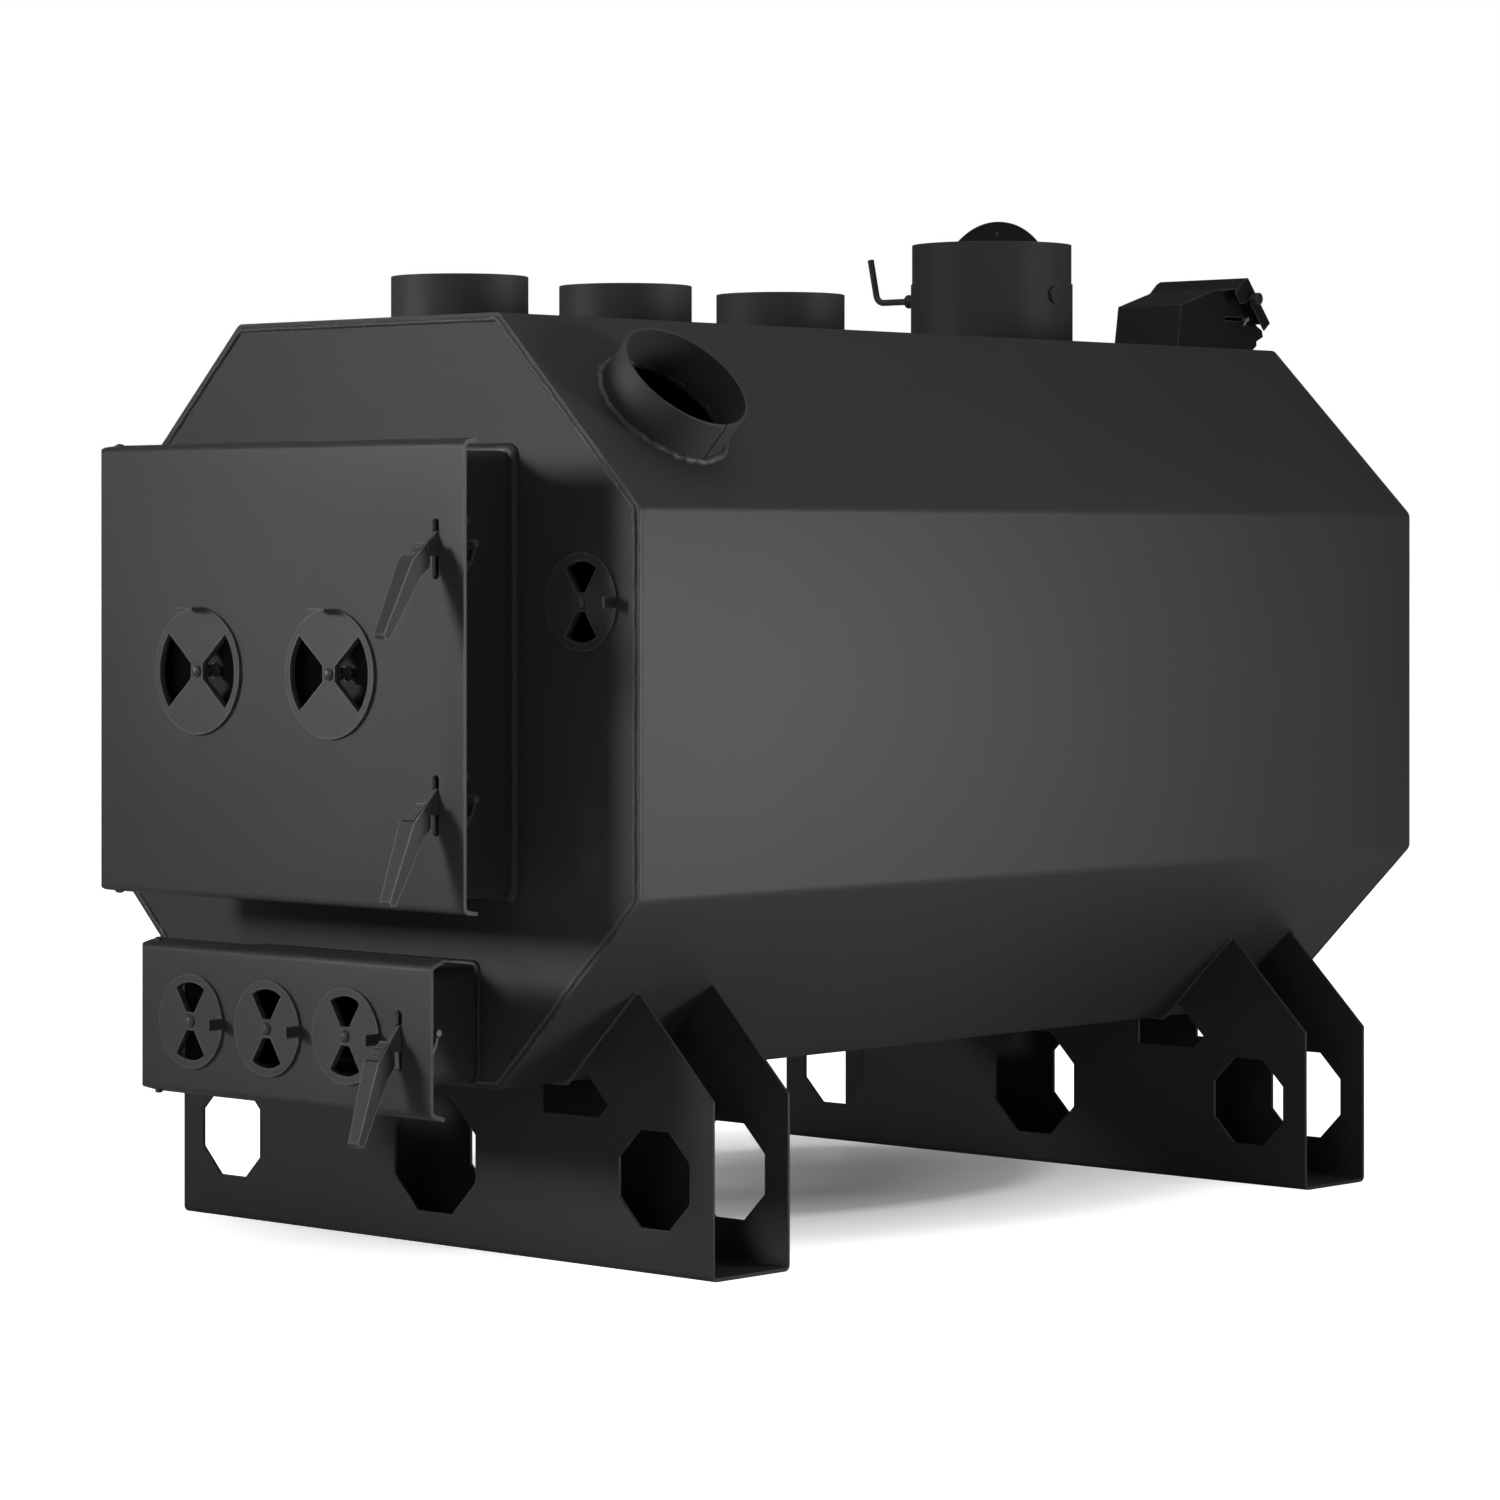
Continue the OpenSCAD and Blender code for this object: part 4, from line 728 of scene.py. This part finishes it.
def slit_side_outlets():
    """The side collars' sheet is rolled, and its ends meet in an open seam."""
    seam = math.radians(176)              # round the collar, from its uphill side
    x, z = SIDE_OUTLET_RIM
    for hand, side in SIDES:
        collar = eased("side_outlet_" + hand, SHEET_EDGE, finish=collar_lit_finish)
        # X across the seam, Y out through the sheet, Z up the collar to its rim.
        slit = block((-0.0012, -0.003, -0.0555), (0.0012, 0.0014, 0.0005))
        up = Vector((-side * math.cos(SLOPE), 0, math.sin(SLOPE)))
        out = Vector((side * math.sin(SLOPE), 0, math.cos(SLOPE)))
        away = up * math.cos(seam) + Vector((0, 1, 0)) * math.sin(seam)
        across = away.cross(out)
        turn = Matrix((across, away, out)).transposed().to_4x4()
        rim = Vector((side * x, OUTLET_Y["front"], z))
        slit.matrix_world = Matrix.Translation(rim + away * (OUTLET_RADIUS + SKIN)) @ turn
        rest(slit)
        cut_out(collar, slit)


# ---------------------------------------------------------------- studio

def softbox(name, place, aim, size, power, spread=180):
    """A square lamp that shines from its place towards aim, in watts and degrees."""
    lamp = bpy.data.lights.new(name, "AREA")
    lamp.shape = "SQUARE"
    lamp.size = size
    lamp.energy = power
    lamp.spread = math.radians(spread)
    holder = bpy.data.objects.new(name, lamp)
    bpy.context.scene.collection.objects.link(holder)
    holder.location = place
    holder.rotation_euler = (Vector(aim) - Vector(place)).to_track_quat("-Z", "Y").to_euler()
    holder.visible_camera = False
    return holder


def light_studio():
    """The door's lamp is narrow, so that the flue and the hood stay dark."""
    softbox("side_softbox", (2.3, 0.9, 0.6), (0.4, -0.95, 0.6), size=0.8, power=9.2, spread=96)
    softbox("door_softbox", (-2.6, -4.6, 1.9), (0.24, -0.8, 0.6), size=1.3, power=4.7, spread=26)
    softbox("front_fill", (2.1, -4.7, 1.2), (0.3, -0.6, 0.4), size=1.4, power=14)
    softbox("top_softbox", (0.5, -0.4, 3.6), (0.2, -0.2, 0.6), size=3.0, power=26)
    rear = softbox("rear_softbox", (-3.2, 4.4, 2.2), (-0.1, 0.4, 0.6), size=2.0, power=130)
    rear.visible_glossy = False           # it stands opposite the camera and would glare


def paint_studio():
    world = bpy.data.worlds.new("studio")
    bpy.context.scene.world = world
    world.use_nodes = True
    sheet = Sheet(world.node_tree)
    glow = sheet.mix(sheet.seen(), grey(0.08), grey(1))
    shader = sheet.node("ShaderNodeBackground", values={"Color": glow}, output="Background")
    sheet.node("ShaderNodeOutputWorld", values={"Surface": shader})


def lay_floor():
    """A pale floor that turns white away from the stove; round the stove its glow is painted
    weaker, a painted shadow added to the real one that its matt part keeps.
    """
    bpy.ops.mesh.primitive_plane_add(size=160, location=(0, 0, -0.0004))
    floor = bpy.context.active_object
    floor.name = "floor"
    rest(floor)
    material, sheet = finish_sheet("floor_finish")
    # An oblong round the stove's footprint, shifted and stretched to where its shadow lies.
    beside = sheet.node("ShaderNodeMapping", values={"Vector": sheet.place(),
        "Location": (0.2, -0.11, 0), "Scale": (1.7, 1.1, 1)})
    far = sheet.node("ShaderNodeVectorMath", {"operation": "LENGTH"}, {0: beside}, "Value")
    # Painted shadow: the glow is weakest under the stove and grows to white beyond it.
    glow = sheet.ramp(far, (0.2, 0.04), (0.42, 0.18), (0.5, 0.42), (0.72, 0.63), (0.92, 1.0))
    matt = sheet.node("ShaderNodeBsdfDiffuse", values={"Color": grey(0.8)}, output="BSDF")
    white = sheet.mix(sheet.seen() * glow, grey(0), grey(1))
    lit = sheet.node("ShaderNodeEmission", values={"Color": white}, output="Emission")
    both = sheet.node("ShaderNodeAddShader", values={0: matt, 1: lit}, output="Shader")
    sheet.node("ShaderNodeOutputMaterial", values={"Surface": both})
    floor.data.materials.append(material)


def place_camera():
    """Level, 0.75 m above the floor, and turned 43 degrees from the stove's front."""
    camera = bpy.data.cameras.new("camera")
    holder = bpy.data.objects.new("camera", camera)
    bpy.context.scene.collection.objects.link(holder)
    holder.location = (3.9323, -4.3120, 0.7508)
    holder.rotation_euler = (QUARTER, 0, math.radians(42.97))
    camera.sensor_width = 36
    camera.lens = 119.87
    camera.shift_x = 0.01557
    camera.shift_y = -0.1303
    bpy.context.scene.camera = holder


# ---------------------------------------------------------------- putting it together

bpy.ops.object.select_all(action="DESELECT")
bpy.context.scene.view_settings.view_transform = "Standard"
place_camera()
light_studio()
paint_studio()
lay_floor()

for node, shape in frame["nodes"].items():
    give_finish(shape, finishes[slot_of[node]])

for node in ("body_shell", "front_plate", "rear_plate", "front_leg", "rear_leg",
        "loading_neck", "ash_neck", "loading_door", "ash_door", "hinge_brackets", "fan_box"):
    eased(node, SHEET_EDGE)
# The collars take the lighter copy of the paint: painted light.
for node in ("flue_collar", "top_outlet_front", "top_outlet_middle", "top_outlet_rear",
        "damper_bushing"):
    eased(node, SHEET_EDGE, finish=collar_lit_finish)
for node in ("blower_hood", "intake_cover"):
    eased(node, HOOD_EDGE, finish=blower_finish)
eased("keeper_pins", HOOD_EDGE, finish=pin_finish)
eased("damper_disc", SMALL_EDGE, finish=disc_finish)
for node in ("damper_nut", "upper_lever", "lower_lever", "ash_lever", "door_latch_pivots",
        "ash_latch_pivot", "heat_shield", "ash_pan", "grate", "throttle_plate", "fan_motor",
        "cable_gland", "door_rosette_bolts", "ash_rosette_bolts", "front_rosette_bolts"):
    eased(node, SMALL_EDGE)
for node in ("door_rosette_left", "door_rosette_right", "ash_rosette_left",
        "ash_rosette_middle", "ash_rosette_right", "front_rosette_left",
        "front_rosette_right"):
    eased(node, ROSETTE_EDGE, segments=3)
eased("hinge_pins", HANDLED_EDGE, segments=3)
for node in ("upper_grip", "lower_grip", "ash_grip"):
    eased(node, HANDLED_EDGE, limit=20)
ridge_grips()

weld_body()
weld_collars()
weld_legs()
lay_rope("loading_gasket", LOADING_NECK, -0.7814)
lay_rope("ash_gasket", ASH_NECK, -0.7724)
fit_springs()
knurl_thumb_screws()
slot_damper_rod()
rivet_disc()
slit_side_outlets()
